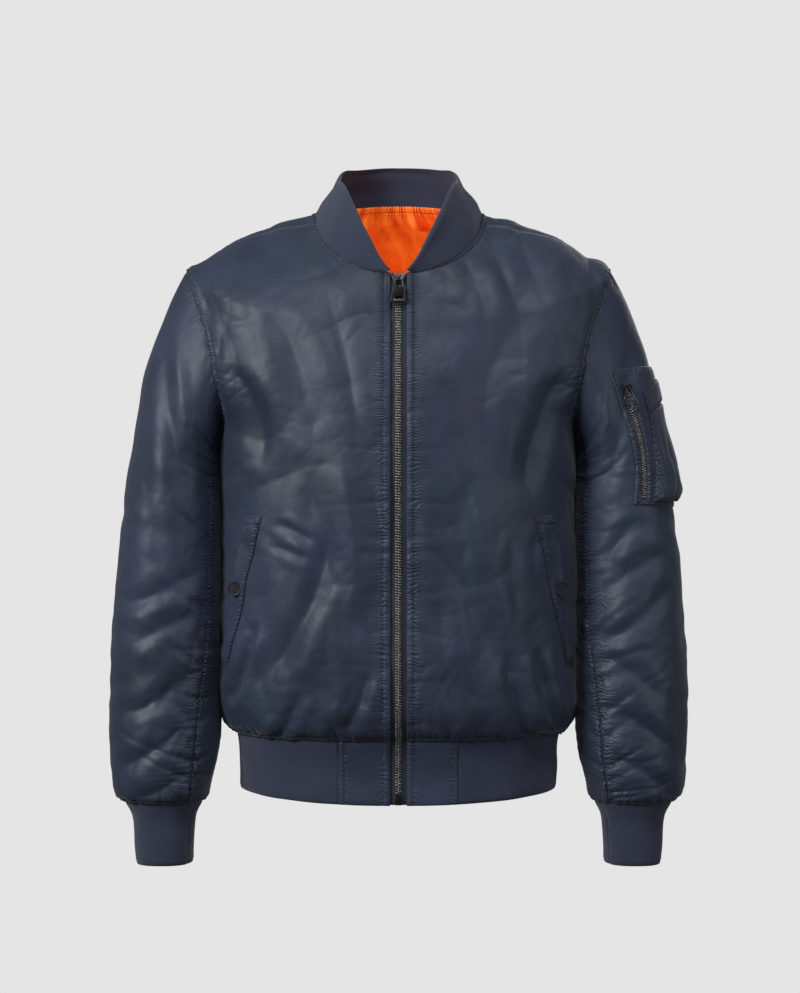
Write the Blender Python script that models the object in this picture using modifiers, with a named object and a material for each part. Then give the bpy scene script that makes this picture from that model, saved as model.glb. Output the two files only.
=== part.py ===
"""Bomber jacket, zipped up and filled out as if worn: shell panels, knit collar, cuffs and waistband, zips, welts.

Metres, +Z up, the front faces -Y and +X is the wearer's left. The origin is the middle of the neck base, level
with the points where the shoulder seams meet the collar.

Two forms carry every piece. The torso form is a stack of rings from the hem to the top of the collar, reached by
an angle round the body (0 at the zip, 90 at the wearer's left side, 180 at the back) and a run up the cloth.
The sleeve form starts on the armhole drawn on the torso form and runs down to the end of the cuff. A pattern
piece is a patch of its form, made into a wall by moving the same points in along the form's own normal, so that
neighbours stay parallel at their seams.
"""

import math
from collections import namedtuple

import bmesh
import bpy
import numpy as np
from mathutils import Matrix, Vector
from mathutils.bvhtree import BVHTree

# Cloth, in metres
SHELL_WALL = 0.0022
KNIT_WALL = 0.0030
LINING_WALL = 0.0012
LINING_DEPTH, LINING_LOW = 0.0040, 0.640
SEAM_GAP = 0.0003
HALF_GAP = SEAM_GAP / 2
LAID_LIFT = 0.0016
COLLAR_FRONT_GAP = 0.0060

# Front opening and zip
FRONT_EDGE = 0.0090
TAPE_INNER, TAPE_OUTER, TAPE_WALL = 0.0036, 0.0165, 0.0008
TAPE_DEPTH = SHELL_WALL + 0.0010
CHAIN_HALF, CHAIN_WALL = 0.0032, 0.0028
CHAIN_DEPTH = 0.0014
TAB_WIDTH = 0.0660
TAPE_TOP, CHAIN_TOP, BOX_HEIGHT = 0.7660, 0.7520, 0.0120

# Rings of the torso form. run: way up the cloth from the hem. half_width, front, back: how far the ring reaches.
# z_side, z_front, z_back: its heights. square: 2 is an ellipse. dip: how the height falls from side to centre.
Ring = namedtuple("Ring", "run half_width front back z_side z_front z_back square dip")
TORSO = [
    Ring(0.000, 0.1800, 0.1040, 0.1070, -0.6500, -0.6600, -0.6520, 2.3, 2.0),
    Ring(0.033, 0.1805, 0.1050, 0.1080, -0.6190, -0.6250, -0.6200, 2.3, 2.0),
    Ring(0.066, 0.1840, 0.1100, 0.1110, -0.5885, -0.5905, -0.5880, 2.3, 2.0),
    Ring(0.086, 0.1955, 0.1240, 0.1215, -0.5750, -0.5765, -0.5740, 2.3, 2.0),
    Ring(0.115, 0.2010, 0.1335, 0.1285, -0.5500, -0.5500, -0.5480, 2.3, 2.0),
    Ring(0.180, 0.2015, 0.1370, 0.1300, -0.4850, -0.4850, -0.4830, 2.3, 2.0),
    Ring(0.250, 0.2000, 0.1360, 0.1310, -0.4150, -0.4150, -0.4130, 2.3, 2.0),
    Ring(0.330, 0.1990, 0.1370, 0.1380, -0.3350, -0.3350, -0.3330, 2.3, 2.0),
    Ring(0.415, 0.2005, 0.1350, 0.1430, -0.2500, -0.2620, -0.2480, 2.3, 1.8),
    Ring(0.510, 0.2370, 0.1270, 0.1420, -0.1570, -0.1970, -0.1600, 2.3, 1.6),
    Ring(0.600, 0.2405, 0.1130, 0.1260, -0.0670, -0.1380, -0.0820, 2.2, 1.4),
    Ring(0.640, 0.2060, 0.1095, 0.1150, -0.0430, -0.1210, -0.0530, 2.15, 1.3),
    Ring(0.680, 0.1740, 0.1060, 0.1030, -0.0265, -0.1040, -0.0260, 2.1, 1.2),
    Ring(0.725, 0.1360, 0.1020, 0.0900, -0.0110, -0.0900, -0.0030, 2.05, 1.1),
    Ring(0.770, 0.0950, 0.0980, 0.0780, 0.0000, -0.0770, 0.0150, 2.0, 1.0),
    Ring(0.785, 0.0875, 0.0985, 0.0765, 0.0135, -0.0765, 0.0300, 2.0, 1.2),
    Ring(0.804, 0.0760, 0.0995, 0.0725, 0.0310, -0.0760, 0.0460, 2.0, 1.6),
    Ring(0.825, 0.0665, 0.1005, 0.0680, 0.0490, -0.0745, 0.0610, 2.0, 2.0),
]
RIB_SEAM, UNDERARM, SHOULDER, NECKLINE, COLLAR_TOP = 0.066, 0.415, 0.600, 0.770, 0.825
SIDE_SEAM = 94.0
SHOULDER_SEAM_AT_NECK = 80.0

# The armhole is an ellipse drawn on the torso form, in degrees and in run.
ARMHOLE_FRONT, ARMHOLE_BACK = 32.0, 30.5
ARMHOLE_MIDDLE, ARMHOLE_HALF = (UNDERARM + SHOULDER) / 2, (SHOULDER - UNDERARM) / 2
ARMHOLE_STEP = 18.0
ARMHOLE_LIFT, ARMHOLE_GAP = 0.0013, 0.0006

# How many strips of facets each piece has, across and along.
SIDE_ROWS, PANEL_COLUMNS, COLLAR_ROWS, RIB_ROWS = 9, 7, 4, 3
SLEEVE_ROWS, TOP_COLUMNS, UNDER_COLUMNS, CUFF_ROWS = 16, 16, 4, 3

# Sections of the sleeve form for the wearer's left arm. z: height. outer, inner, front, back: how far it reaches.
Section = namedtuple("Section", "run z outer inner front back")
SLEEVE = [
    Section(0.150, -0.3035, 0.3076, 0.2065, -0.0740, 0.0780),
    Section(0.200, -0.3547, 0.3132, 0.2060, -0.0760, 0.0720),
    Section(0.250, -0.4059, 0.3189, 0.2060, -0.0770, 0.0670),
    Section(0.300, -0.4570, 0.3223, 0.2060, -0.0790, 0.0610),
    Section(0.350, -0.5082, 0.3246, 0.2060, -0.0810, 0.0540),
    Section(0.400, -0.5594, 0.3260, 0.2060, -0.0820, 0.0470),
    Section(0.450, -0.6105, 0.3240, 0.2075, -0.0820, 0.0390),
    Section(0.485, -0.6400, 0.3214, 0.2110, -0.0800, 0.0310),
    Section(0.505, -0.6555, 0.3180, 0.2135, -0.0760, 0.0240),
    Section(0.518, -0.6635, 0.3092, 0.2190, -0.0700, 0.0170),
    Section(0.536, -0.6820, 0.2998, 0.2275, -0.0640, 0.0130),
    Section(0.560, -0.7065, 0.2972, 0.2298, -0.0630, 0.0120),
    Section(0.588, -0.7330, 0.2965, 0.2308, -0.0620, 0.0120),
]
CAP_RUN, CUFF_SEAM, CUFF_END = 0.150, 0.518, 0.588
SLEEVE_SQUARE = 2.15
CAP_PUFF_OUT, CAP_PUFF_FRONT, CAP_PUFF_UNDER = 0.30, 0.12, 1.20

# Where the two seams of the sleeve run, in degrees: 0 is the front of the arm, 90 the outside, -90 the inside.
SleeveSeam = namedtuple("SleeveSeam", "run front back")
SLEEVE_SEAMS = [
    SleeveSeam(0.000, -54.0, -126.0),
    SleeveSeam(0.150, -58.0, -124.0),
    SleeveSeam(0.300, -56.0, -122.0),
    SleeveSeam(0.420, -42.0, -130.0),
    SleeveSeam(0.518, -38.0, -134.0),
]

# The largest folds, as soft troughs. piece: form. angle, run: middle. lean: degrees from lying across the cloth.
# long, wide: half sizes. deep: metres in (negative is a swelling). Folds of the arms come in the wearer's left
# and right.
Fold = namedtuple("Fold", "piece angle run lean long wide deep")
FOLDS = [
    Fold("torso", -33, 0.215, 62, 0.095, 0.016, 0.0050),
    Fold("torso", -17, 0.150, 70, 0.080, 0.014, 0.0035),
    Fold("torso", -47, 0.120, 55, 0.040, 0.012, 0.0045),
    Fold("torso", -46, 0.420, 50, 0.070, 0.016, 0.0040),
    Fold("torso", 30, 0.330, -52, 0.090, 0.018, 0.0040),
    Fold("torso", 22, 0.140, -68, 0.070, 0.014, 0.0035),
    Fold("torso", 50, 0.115, -48, 0.040, 0.013, 0.0045),
    Fold("torso", 44, 0.470, -55, 0.060, 0.015, 0.0035),
    Fold("torso", 152, 0.250, 68, 0.110, 0.018, 0.0050),
    Fold("torso", -148, 0.230, -66, 0.120, 0.017, 0.0050),
    Fold("torso", 128, 0.420, 48, 0.080, 0.016, 0.0045),
    Fold("torso", -126, 0.430, -50, 0.080, 0.016, 0.0045),
    Fold("torso", 172, 0.130, 78, 0.060, 0.014, 0.0035),
    Fold("right", 10, 0.305, 22, 0.050, 0.013, 0.0065),
    Fold("right", 8, 0.420, 30, 0.050, 0.013, 0.0070),
    Fold("right", 62, 0.370, 24, 0.045, 0.015, 0.0055),
    Fold("right", 5, 0.480, 42, 0.045, 0.010, 0.0050),
    Fold("right", 140, 0.290, -20, 0.055, 0.014, 0.0060),
    Fold("right", 165, 0.400, -25, 0.055, 0.014, 0.0060),
    Fold("right", 20, 0.115, 70, 0.060, 0.012, 0.0040),
    Fold("left", 22, 0.275, 48, 0.050, 0.013, 0.0060),
    Fold("left", 5, 0.380, -28, 0.050, 0.013, 0.0065),
    Fold("left", 30, 0.440, -32, 0.050, 0.012, 0.0060),
    Fold("left", 78, 0.350, 18, 0.045, 0.015, 0.0050),
    Fold("left", 150, 0.300, -24, 0.055, 0.014, 0.0060),
    Fold("left", 172, 0.410, -20, 0.055, 0.014, 0.0060),
]
FOLD_RADIUS = {"torso": 0.165, "left": 0.060, "right": 0.060}

# Welts of the slanted side pockets, on the torso form.
WELT_TOP, WELT_BOTTOM = 0.322, 0.160
WELT_ANGLES_TOP, WELT_ANGLES_BOTTOM = (45.5, 54.5), (62.0, 71.0)
WELT_WALL = 0.0030
SNAP_RADIUS, SNAP_HEIGHT, SNAP_SHARE = 0.0072, 0.0026, 0.50

# Utility pocket on the wearer's left sleeve: the (degree, run) pairs of the sleeve form at each piece's corners,
# in the order top front, top back, bottom front, bottom back. PATCH_ARCH lifts the middle of the top edge's run.
PATCH_CORNERS, PATCH_WALL = ((18.5, 0.037), (110.0, 0.069), (1.5, 0.177), (106.0, 0.180)), 0.0015
PATCH_ARCH = 0.014
BAND_CORNERS = ((43.5, 0.079), (100.0, 0.081), (40.0, 0.094), (100.0, 0.096))
PEN_CORNERS, PEN_WALL = ((40.0, 0.096), (99.0, 0.098), (25.0, 0.174), (101.0, 0.174)), 0.0015
POCKET_ZIP_TOP, POCKET_ZIP_BOTTOM = (24.5, 0.068), (14.5, 0.170)
POCKET_CHAIN_HALF, POCKET_CHAIN_WALL = 0.0026, 0.0018
PEN_BULGE, PEN_LIFT, PATCH_LIFT = 0.0085, 0.0009, 0.0019

# Zip sliders and pulls, for the front zip. The pocket's are POCKET_SCALE of these.
SLIDER_WIDTH, SLIDER_LENGTH = 0.0110, 0.0125
BRIDGE_WIDTH, BRIDGE_LENGTH, BRIDGE_HEIGHT = 0.0022, 0.0090, 0.0042
PULL_LENGTH, PULL_TOP_WIDTH, PULL_END_WIDTH, PULL_WALL = 0.0270, 0.0080, 0.0120, 0.0014
PULL_BAR = 0.0012
POCKET_SCALE = 0.74
SLIDER_TOP_RUN, SLIDER_DEPTH = 0.7660, 0.0005
POCKET_SLIDER_ABOVE, POCKET_SLIDER_LIFT = 0.0110, 0.0046

NAVY_SHELL = ("shell_nylon", (0.030, 0.040, 0.072, 1), 0.42, 0.0)
NAVY_KNIT = ("rib_knit", (0.034, 0.042, 0.075, 1), 0.85, 0.0)
ORANGE_LINING = ("orange_lining", (0.86, 0.13, 0.015, 1), 0.45, 0.0)
NAVY_TAPE = ("zip_tape", (0.028, 0.032, 0.058, 1), 0.80, 0.0)
DARK_METAL = ("dark_metal", (0.075, 0.072, 0.065, 1), 0.36, 1.0)


# ---------------------------------------------------------------- smooth columns through a table


def smooth_columns(rows, run):
    """Every column of a table of rows at each run, by a monotone cubic that never overshoots its rows."""
    run = np.asarray(run, float)
    knots = np.array([row.run for row in rows])
    step = np.diff(knots)
    place = np.clip(np.searchsorted(knots, run, side="right") - 1, 0, len(knots) - 2)
    share = np.clip((run - knots[place]) / step[place], 0.0, 1.0)
    found = {}
    for name in rows[0]._fields[1:]:
        values = np.array([getattr(row, name) for row in rows])
        rise = np.diff(values) / step
        slope = np.zeros_like(values)
        slope[0], slope[-1] = rise[0], rise[-1]
        before, after = rise[:-1], rise[1:]
        same_way = before * after > 0
        total = step[:-1] + step[1:]
        left, right = (total + step[1:]) / (3 * total), (total + step[:-1]) / (3 * total)
        safe_before = np.where(same_way, before, 1.0)
        safe_after = np.where(same_way, after, 1.0)
        slope[1:-1] = np.where(same_way, 1.0 / (left / safe_before + right / safe_after), 0.0)
        t = share
        found[name] = (
            (2 * t**3 - 3 * t**2 + 1) * values[place]
            + (t**3 - 2 * t**2 + t) * step[place] * slope[place]
            + (3 * t**2 - 2 * t**3) * values[place + 1]
            + (t**3 - t**2) * step[place] * slope[place + 1]
        )
    return found


def unit(vectors):
    return vectors / np.maximum(np.linalg.norm(vectors, axis=-1, keepdims=True), 1e-12)


def smooth_step(t):
    t = np.clip(t, 0.0, 1.0)
    return t * t * (3 - 2 * t)


def fold_height(piece, angle, run):
    """How far the largest folds move a form out, at each angle and run."""
    height = np.zeros(np.broadcast(angle, run).shape)
    for fold in FOLDS:
        if fold.piece != piece:
            continue
        turn = (angle - fold.angle + 180.0) % 360.0 - 180.0
        across, up = np.radians(turn) * FOLD_RADIUS[piece], run - fold.run
        lean = math.radians(fold.lean)
        along = across * math.cos(lean) + up * math.sin(lean)
        aside = -across * math.sin(lean) + up * math.cos(lean)
        height = height - fold.deep * np.exp(-((along / fold.long) ** 2) - (aside / fold.wide) ** 2)
    return height


# ---------------------------------------------------------------- the torso form


def torso_form(angle, run):
    """Points of the bare torso form."""
    angle, run = np.broadcast_arrays(np.asarray(angle, float), np.asarray(run, float))
    ring = smooth_columns(TORSO, run)
    sine, cosine = np.sin(np.radians(angle)), np.cos(np.radians(angle))
    square = ring["square"]
    size = (np.abs(sine) ** square + np.abs(cosine) ** square) ** (1 / square)
    across, along = sine / size, cosine / size
    depth = np.where(along > 0, ring["front"], ring["back"])
    z_centre = np.where(along > 0, ring["z_front"], ring["z_back"])
    height = ring["z_side"] + (z_centre - ring["z_side"]) * np.abs(along) ** ring["dip"]
    return np.stack([ring["half_width"] * across, -depth * along, height], axis=-1)


def torso_out(angle, run):
    """The torso form's outward normals."""
    turn, rise = 0.5, 0.002
    low, high = np.maximum(np.asarray(run) - rise, 0.0), np.minimum(np.asarray(run) + rise, COLLAR_TOP)
    round_it = torso_form(angle + turn, run) - torso_form(angle - turn, run)
    up_it = torso_form(angle, high) - torso_form(angle, low)
    return unit(np.cross(round_it, up_it))


def torso_fold(angle, run):
    """Folds fade out towards the rib, the armholes, the zip and the neck, where the seams hold the cloth."""
    hold = smooth_step((run - RIB_SEAM) / 0.03) * smooth_step((NECKLINE - 0.04 - run) / 0.06)
    angle = (angle + 180.0) % 360.0 - 180.0
    hold = hold * smooth_step((np.abs(angle) - 6.0) / 8.0)
    side = np.minimum(np.abs(np.abs(angle) - 90.0) / ARMHOLE_FRONT, 3.0)
    high = (run - ARMHOLE_MIDDLE) / ARMHOLE_HALF
    away = np.sqrt(side**2 + np.minimum(np.abs(high), 3.0) ** 2)
    return fold_height("torso", angle, run) * hold * smooth_step((away - 1.0) / 0.5)


def torso_wall(angle, run, depth=0.0):
    """Points of the draped torso form, moved in by depth."""
    angle, run = np.broadcast_arrays(np.asarray(angle, float), np.asarray(run, float))
    moved = torso_fold(angle, run) - depth
    return torso_form(angle, run) + torso_out(angle, run) * moved[..., None]


def angle_at(offset, run):
    """The angle of the torso form where it is offset from the middle of the front, in metres."""
    half_width = smooth_columns(TORSO, run)["half_width"]
    return np.degrees(np.arcsin(np.clip(offset / half_width, -1, 1)))


def armhole(turn):
    """Angle and run of the wearer's left armhole at each turn of the sleeve: 90 is the shoulder, -90 the underarm."""
    sine, cosine = np.sin(np.radians(turn)), np.cos(np.radians(turn))
    reach = np.where(cosine > 0, ARMHOLE_FRONT, ARMHOLE_BACK)
    return 90.0 - reach * cosine, ARMHOLE_MIDDLE + ARMHOLE_HALF * sine


# ---------------------------------------------------------------- the sleeve form, for the wearer's left arm


def sleeve_section(turn, run):
    part = smooth_columns(SLEEVE, run)
    sine, cosine = np.sin(np.radians(turn)), np.cos(np.radians(turn))
    size = (np.abs(sine) ** SLEEVE_SQUARE + np.abs(cosine) ** SLEEVE_SQUARE) ** (1 / SLEEVE_SQUARE)
    middle_x, half_x = (part["outer"] + part["inner"]) / 2, (part["outer"] - part["inner"]) / 2
    middle_y, half_y = (part["front"] + part["back"]) / 2, (part["back"] - part["front"]) / 2
    return np.stack([middle_x + half_x * sine / size, middle_y - half_y * cosine / size, part["z"]], axis=-1)


def armhole_start(turn):
    """Where the sleeve starts: straight between the panels' corners, moved a gap out and a gap into the hole."""
    place = (turn + 90.0) / ARMHOLE_STEP
    share = (place - np.floor(place))[..., None]
    ends = []
    for corner in (np.floor(place), np.floor(place) + 1):
        angle, run = armhole(corner * ARMHOLE_STEP - 90.0)
        ends.append(torso_wall(angle, run) + ARMHOLE_LIFT * torso_out(angle, run))
    edge = ends[0] * (1 - share) + ends[1] * share
    middle = torso_form(np.full_like(turn, 90.0), np.full_like(turn, ARMHOLE_MIDDLE))
    return edge + ARMHOLE_GAP * unit(middle - edge)


def sleeve_form(turn, run):
    """Points of the bare sleeve form. The cap is a set of Hermite curves from the armhole to the first section."""
    turn, run = np.broadcast_arrays(np.asarray(turn, float), np.asarray(run, float))
    below = sleeve_section(turn, np.maximum(run, CAP_RUN))
    start, end = armhole_start(turn), sleeve_section(turn, np.full_like(run, CAP_RUN))
    reach = np.linalg.norm(end - start, axis=-1, keepdims=True)
    sine, cosine = np.sin(np.radians(turn)), np.cos(np.radians(turn))
    spread = CAP_PUFF_OUT * np.maximum(sine, 0) + CAP_PUFF_UNDER * np.maximum(-sine, 0)
    puff = np.stack([spread, -CAP_PUFF_FRONT * cosine, 0 * sine], axis=-1)
    leave = unit(end - start + puff * reach) * reach
    step = 0.004
    down = unit(sleeve_section(turn, np.full_like(run, CAP_RUN + step)) - end) * reach
    t = np.clip(run / CAP_RUN, 0.0, 1.0)[..., None]
    cap = (
        (2 * t**3 - 3 * t**2 + 1) * start
        + (t**3 - 2 * t**2 + t) * leave
        + (3 * t**2 - 2 * t**3) * end
        + (t**3 - t**2) * down
    )
    return np.where((run < CAP_RUN)[..., None], cap, below)


def sleeve_out(turn, run):
    """The sleeve form's outward normals. On the armhole they turn to the torso's, so that the rims are parallel."""
    spread, rise = 1.0, 0.002
    low, high = np.maximum(np.asarray(run) - rise, 0.0), np.minimum(np.asarray(run) + rise, CUFF_END)
    round_it = sleeve_form(turn + spread, run) - sleeve_form(turn - spread, run)
    down_it = sleeve_form(turn, high) - sleeve_form(turn, low)
    own = unit(np.cross(down_it, round_it))
    body = torso_out(*armhole(turn))
    alike = smooth_step(((own * body).sum(-1) + 0.3) / 0.8)
    near = 1.0 - smooth_step(np.asarray(run) / 0.012)
    share = (alike * near)[..., None]
    return unit(own * (1 - share) + body * share)


def sleeve_wall(side, turn, run, depth=0.0):
    """Points of the draped sleeve, moved in by depth. side is 1 for the wearer's left and -1 for the right."""
    turn, run = np.broadcast_arrays(np.asarray(turn, float), np.asarray(run, float))
    hold = smooth_step((run - 0.03) / 0.05) * smooth_step((CUFF_SEAM - 0.005 - run) / 0.03)
    inside = smooth_step((np.abs((turn + 90.0 + 180.0) % 360.0 - 180.0) - 25.0) / 30.0)
    fold = fold_height("left" if side > 0 else "right", turn, run) * hold * inside
    points = sleeve_form(turn, run) + sleeve_out(turn, run) * (fold - depth)[..., None]
    return points * np.array([side, 1.0, 1.0])


# ---------------------------------------------------------------- making objects


def empty_scene():
    for item in list(bpy.data.objects):
        bpy.data.objects.remove(item)


def collection_of(name):
    made = bpy.data.collections.new(name)
    bpy.context.scene.collection.children.link(made)
    return made


def material_of(finish):
    name, colour, roughness, metallic = finish
    made = bpy.data.materials.get(name)
    if made is None:
        made = bpy.data.materials.new(name)
        made.use_nodes = True
        shader = made.node_tree.nodes["Principled BSDF"]
        shader.inputs["Base Color"].default_value = colour
        shader.inputs["Roughness"].default_value = roughness
        shader.inputs["Metallic"].default_value = metallic
    return made


def add_object(name, data, finish, matrix=None):
    made = bpy.data.objects.new(name, data)
    if finish is not None:
        made.data.materials.append(material_of(finish))
    if matrix is not None:
        made.matrix_world = matrix
    jacket.objects.link(made)
    return made


def cloth_of(name, skins, finish, round_it=False):
    """A wall between pairs of grids of points, outer and inner. Grids that share corners are joined along them.
    round_it joins the last column of a grid to its first."""
    shape = bmesh.new()
    corners, twins = {}, {}

    def corner(outer, inner, i, j):
        key = tuple(np.round(outer[i, j], 6) + 0.0)
        if key not in corners:
            corners[key] = shape.verts.new(outer[i, j])
            twins[corners[key]] = shape.verts.new(inner[i, j])
        return corners[key]

    for outer, inner in skins:
        rows, columns = outer.shape[:2]
        for i in range(rows - 1):
            for j in range(columns if round_it else columns - 1):
                k = (j + 1) % columns
                spots = ((i, j), (i, k), (i + 1, k), (i + 1, j))
                shape.faces.new([corner(outer, inner, *spot) for spot in spots])
    skin = list(shape.faces)
    rim = [edge for edge in shape.edges if len(edge.link_faces) == 1]
    ends = [(edge.verts[0], edge.verts[1]) for edge in rim]
    for face in skin:
        shape.faces.new([twins[vertex] for vertex in face.verts])
    for first, second in ends:
        shape.faces.new((first, second, twins[second], twins[first]))
    bmesh.ops.recalc_face_normals(shape, faces=shape.faces)
    mesh = bpy.data.meshes.new(name)
    shape.to_mesh(mesh)
    shape.free()
    mesh.shade_smooth()
    mesh.set_sharp_from_angle(angle=math.radians(40))
    return add_object(name, mesh, finish)


def cloth(name, outer, inner, finish, round_it=False):
    """A wall between two grids of points."""
    return cloth_of(name, [(outer, inner)], finish, round_it)


def pairs(angle, run):
    return np.stack(np.broadcast_arrays(np.asarray(angle, float), np.asarray(run, float)), axis=-1)



# ---------------------------------------------------------------- body panels


def shoulder_seam(run):
    """The angle of the shoulder seam, which runs forward of the ridge at the neck."""
    return 90.0 - (90.0 - SHOULDER_SEAM_AT_NECK) * smooth_step((run - SHOULDER) / (NECKLINE - SHOULDER))


def panel_edge(front):
    """The side seam, then the armhole as far as the shoulder, as pairs. front is 1, or -1 for the back."""
    low = np.linspace(RIB_SEAM + HALF_GAP, UNDERARM, SIDE_ROWS + 1)
    lean = smooth_step((low - UNDERARM + 0.06) / 0.06)
    side = SIDE_SEAM + (90.0 - SIDE_SEAM) * lean - front * math.degrees(HALF_GAP / 0.2)
    turns = np.arange(-90.0 + ARMHOLE_STEP, 89.0, ARMHOLE_STEP)
    angle, run = armhole(turns if front > 0 else 180.0 - turns)
    return np.concatenate([pairs(side, low), pairs(angle, run)])


def neck_angles(front):
    """Where the panels and the collar share corners along the neckline, from the middle to the shoulder seam."""
    if front > 0:
        return np.linspace(angle_at(FRONT_EDGE, NECKLINE), SHOULDER_SEAM_AT_NECK, 7)
    return np.linspace(180.0, SHOULDER_SEAM_AT_NECK, 7)


def opening_rows(low, top, count):
    """Rows up the zip or the middle of the back, close together where the cloth blouses over the rib."""
    return low + (top - low) * np.linspace(0.0, 1.0, count) ** 1.25


def zip_runs(low, high):
    """The panels' own rows along the zip, between low and high, so that tapes and chain stay parallel to them."""
    count = len(panel_edge(1)) - len(neck_angles(1)) + 2
    rib = np.linspace(0.0, RIB_SEAM - HALF_GAP, RIB_ROWS + 1)
    rows = np.concatenate([rib, opening_rows(RIB_SEAM + HALF_GAP, NECKLINE - HALF_GAP, count)])
    return np.concatenate([[low], rows[(rows > low + 0.004) & (rows < high - 0.004)], [high]])


def half_panel(front, low):
    """The (angle, run) grid of one front, or half of the back, of the wearer's left."""
    edge = panel_edge(front)
    top = NECKLINE - HALF_GAP
    neck = neck_angles(front)
    rise = opening_rows(low, top, len(edge) - len(neck) + 2)
    middle = angle_at(FRONT_EDGE, rise) if front > 0 else np.full_like(rise, 180.0)
    inner = np.concatenate([pairs(middle, rise), pairs(neck[1:-1], top)])
    seam = np.linspace(top, SHOULDER + 0.0008, PANEL_COLUMNS + 1)
    trim = front * math.degrees(HALF_GAP / 0.09)
    shoulder = pairs(shoulder_seam(seam) - trim, seam)
    share = np.linspace(0.0, 1.0, PANEL_COLUMNS + 1)[None, :, None]
    rows = inner[:, None, :] * (1 - share) + edge[:, None, :] * share
    return np.concatenate([rows, shoulder[None]])


def front_panel(name, side):
    """Front of one side: zip edge and neckline on one side of the patch, side seam and armhole on the other."""
    grid = half_panel(1, RIB_SEAM + HALF_GAP)
    angle, run = grid[..., 0] * side, grid[..., 1]
    return cloth(name, torso_wall(angle, run), torso_wall(angle, run, SHELL_WALL), NAVY_SHELL)


def back_panel(name):
    """Back, one piece: the same patch twice, joined down the middle."""
    grid = half_panel(-1, RIB_SEAM + HALF_GAP)
    skins = []
    for side in (1, -1):
        angle, run = grid[..., 0] * side, grid[..., 1]
        skins.append((torso_wall(angle, run), torso_wall(angle, run, SHELL_WALL)))
    return cloth_of(name, skins, NAVY_SHELL)


def back_lining(name):
    """Lining of the upper back, which shows inside the neck."""
    angle = np.linspace(108.0, 252.0, 13)[None, :]
    share = np.linspace(0.0, 1.0, 6)[:, None]
    top = NECKLINE - 0.0020
    reach = np.sin(np.radians(np.abs(angle - 180.0))) * 0.020
    run = LINING_LOW + (top - LINING_LOW) * share + reach * (1 - share)
    outer = torso_wall(angle, run, LINING_DEPTH)
    inner = torso_wall(angle, run, LINING_DEPTH + LINING_WALL)
    return cloth(name, outer, inner, ORANGE_LINING)


# ---------------------------------------------------------------- knit pieces


def collar(name):
    """Rib collar, from one side of the zip round the back to the other, tapering to nothing at the front."""
    half = np.concatenate([neck_angles(1), neck_angles(-1)[-2::-1]])
    angle = np.concatenate([half, 360.0 - half[-2::-1]])[None, :]
    start = NECKLINE + SEAM_GAP * 2 + COLLAR_FRONT_GAP * np.maximum(np.cos(np.radians(angle)), 0.0) ** 12
    share = np.linspace(0.0, 1.0, COLLAR_ROWS + 1)[:, None]
    run = start * (1 - share) + COLLAR_TOP * share
    return cloth(name, torso_wall(angle, run), torso_wall(angle, run, KNIT_WALL), NAVY_KNIT)


def hem_rib(name):
    """Rib waistband between the two front tabs. Its upper corners are the panels' lower ones."""
    tab = float(angle_at(TAB_WIDTH + SEAM_GAP, 0.033))
    front, back = half_panel(1, RIB_SEAM)[0, :, 0], half_panel(-1, RIB_SEAM)[0, :, 0]
    half = np.concatenate([[tab], front[front > tab + 2.0], back[-2::-1]])
    angle = np.concatenate([half, 360.0 - half[-2::-1]])[None, :]
    run = np.linspace(0.0, RIB_SEAM - HALF_GAP, RIB_ROWS + 1)[:, None]
    return cloth(name, torso_wall(angle, run), torso_wall(angle, run, KNIT_WALL), NAVY_KNIT)


def hem_tab(name, side):
    """Plain tab of shell cloth between the zip and the rib."""
    run = np.linspace(0.0, RIB_SEAM - HALF_GAP, RIB_ROWS + 1)[:, None]
    share = np.linspace(0.0, 1.0, 5)[None, :]
    start, end = angle_at(FRONT_EDGE, run), float(angle_at(TAB_WIDTH, 0.033))
    angle = (start * (1 - share) + end * share) * side
    run = run + 0 * share
    return cloth(name, torso_wall(angle, run), torso_wall(angle, run, SHELL_WALL), NAVY_SHELL)


# ---------------------------------------------------------------- sleeves and cuffs


def sleeve_turns(piece, run):
    """The turns of a sleeve piece's columns at each run. The top sleeve goes over the arm, the under one below."""
    seams = smooth_columns(SLEEVE_SEAMS, run)
    trim = math.degrees(SEAM_GAP / 0.055)
    if piece == "top":
        first, last, columns = seams["front"] + trim, 360.0 + seams["back"] - trim, TOP_COLUMNS
    else:
        first, last, columns = seams["back"] + trim, seams["front"] - trim, UNDER_COLUMNS
    share = np.linspace(0.0, 1.0, columns + 1)
    return first[..., None] * (1 - share) + last[..., None] * share


def sleeve_rows():
    """Rows of the sleeve, close together where it blouses over the cuff."""
    plain = np.linspace(0.0, 0.485, SLEEVE_ROWS - 2)
    return np.concatenate([plain, [0.497, 0.508, CUFF_SEAM - HALF_GAP]])


def sleeve_piece(name, side, piece):
    rows = sleeve_rows()
    turn = sleeve_turns(piece, rows)
    run = np.broadcast_to(rows[:, None], turn.shape)
    outer, inner = sleeve_wall(side, turn, run), sleeve_wall(side, turn, run, SHELL_WALL)
    return cloth(name, outer, inner, NAVY_SHELL)


def cuff(name, side):
    """Rib cuff, a tube whose upper corners are the sleeve's lower ones."""
    end = np.array([CUFF_SEAM])
    turn = np.concatenate([sleeve_turns("top", end)[0], sleeve_turns("under", end)[0][1:-1]])[None, :]
    run = np.linspace(CUFF_SEAM + HALF_GAP, CUFF_END, CUFF_ROWS + 1)[:, None]
    outer, inner = sleeve_wall(side, turn, run), sleeve_wall(side, turn, run, KNIT_WALL)
    return cloth(name, outer, inner, NAVY_KNIT, round_it=True)


# ---------------------------------------------------------------- what lies on a panel


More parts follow.
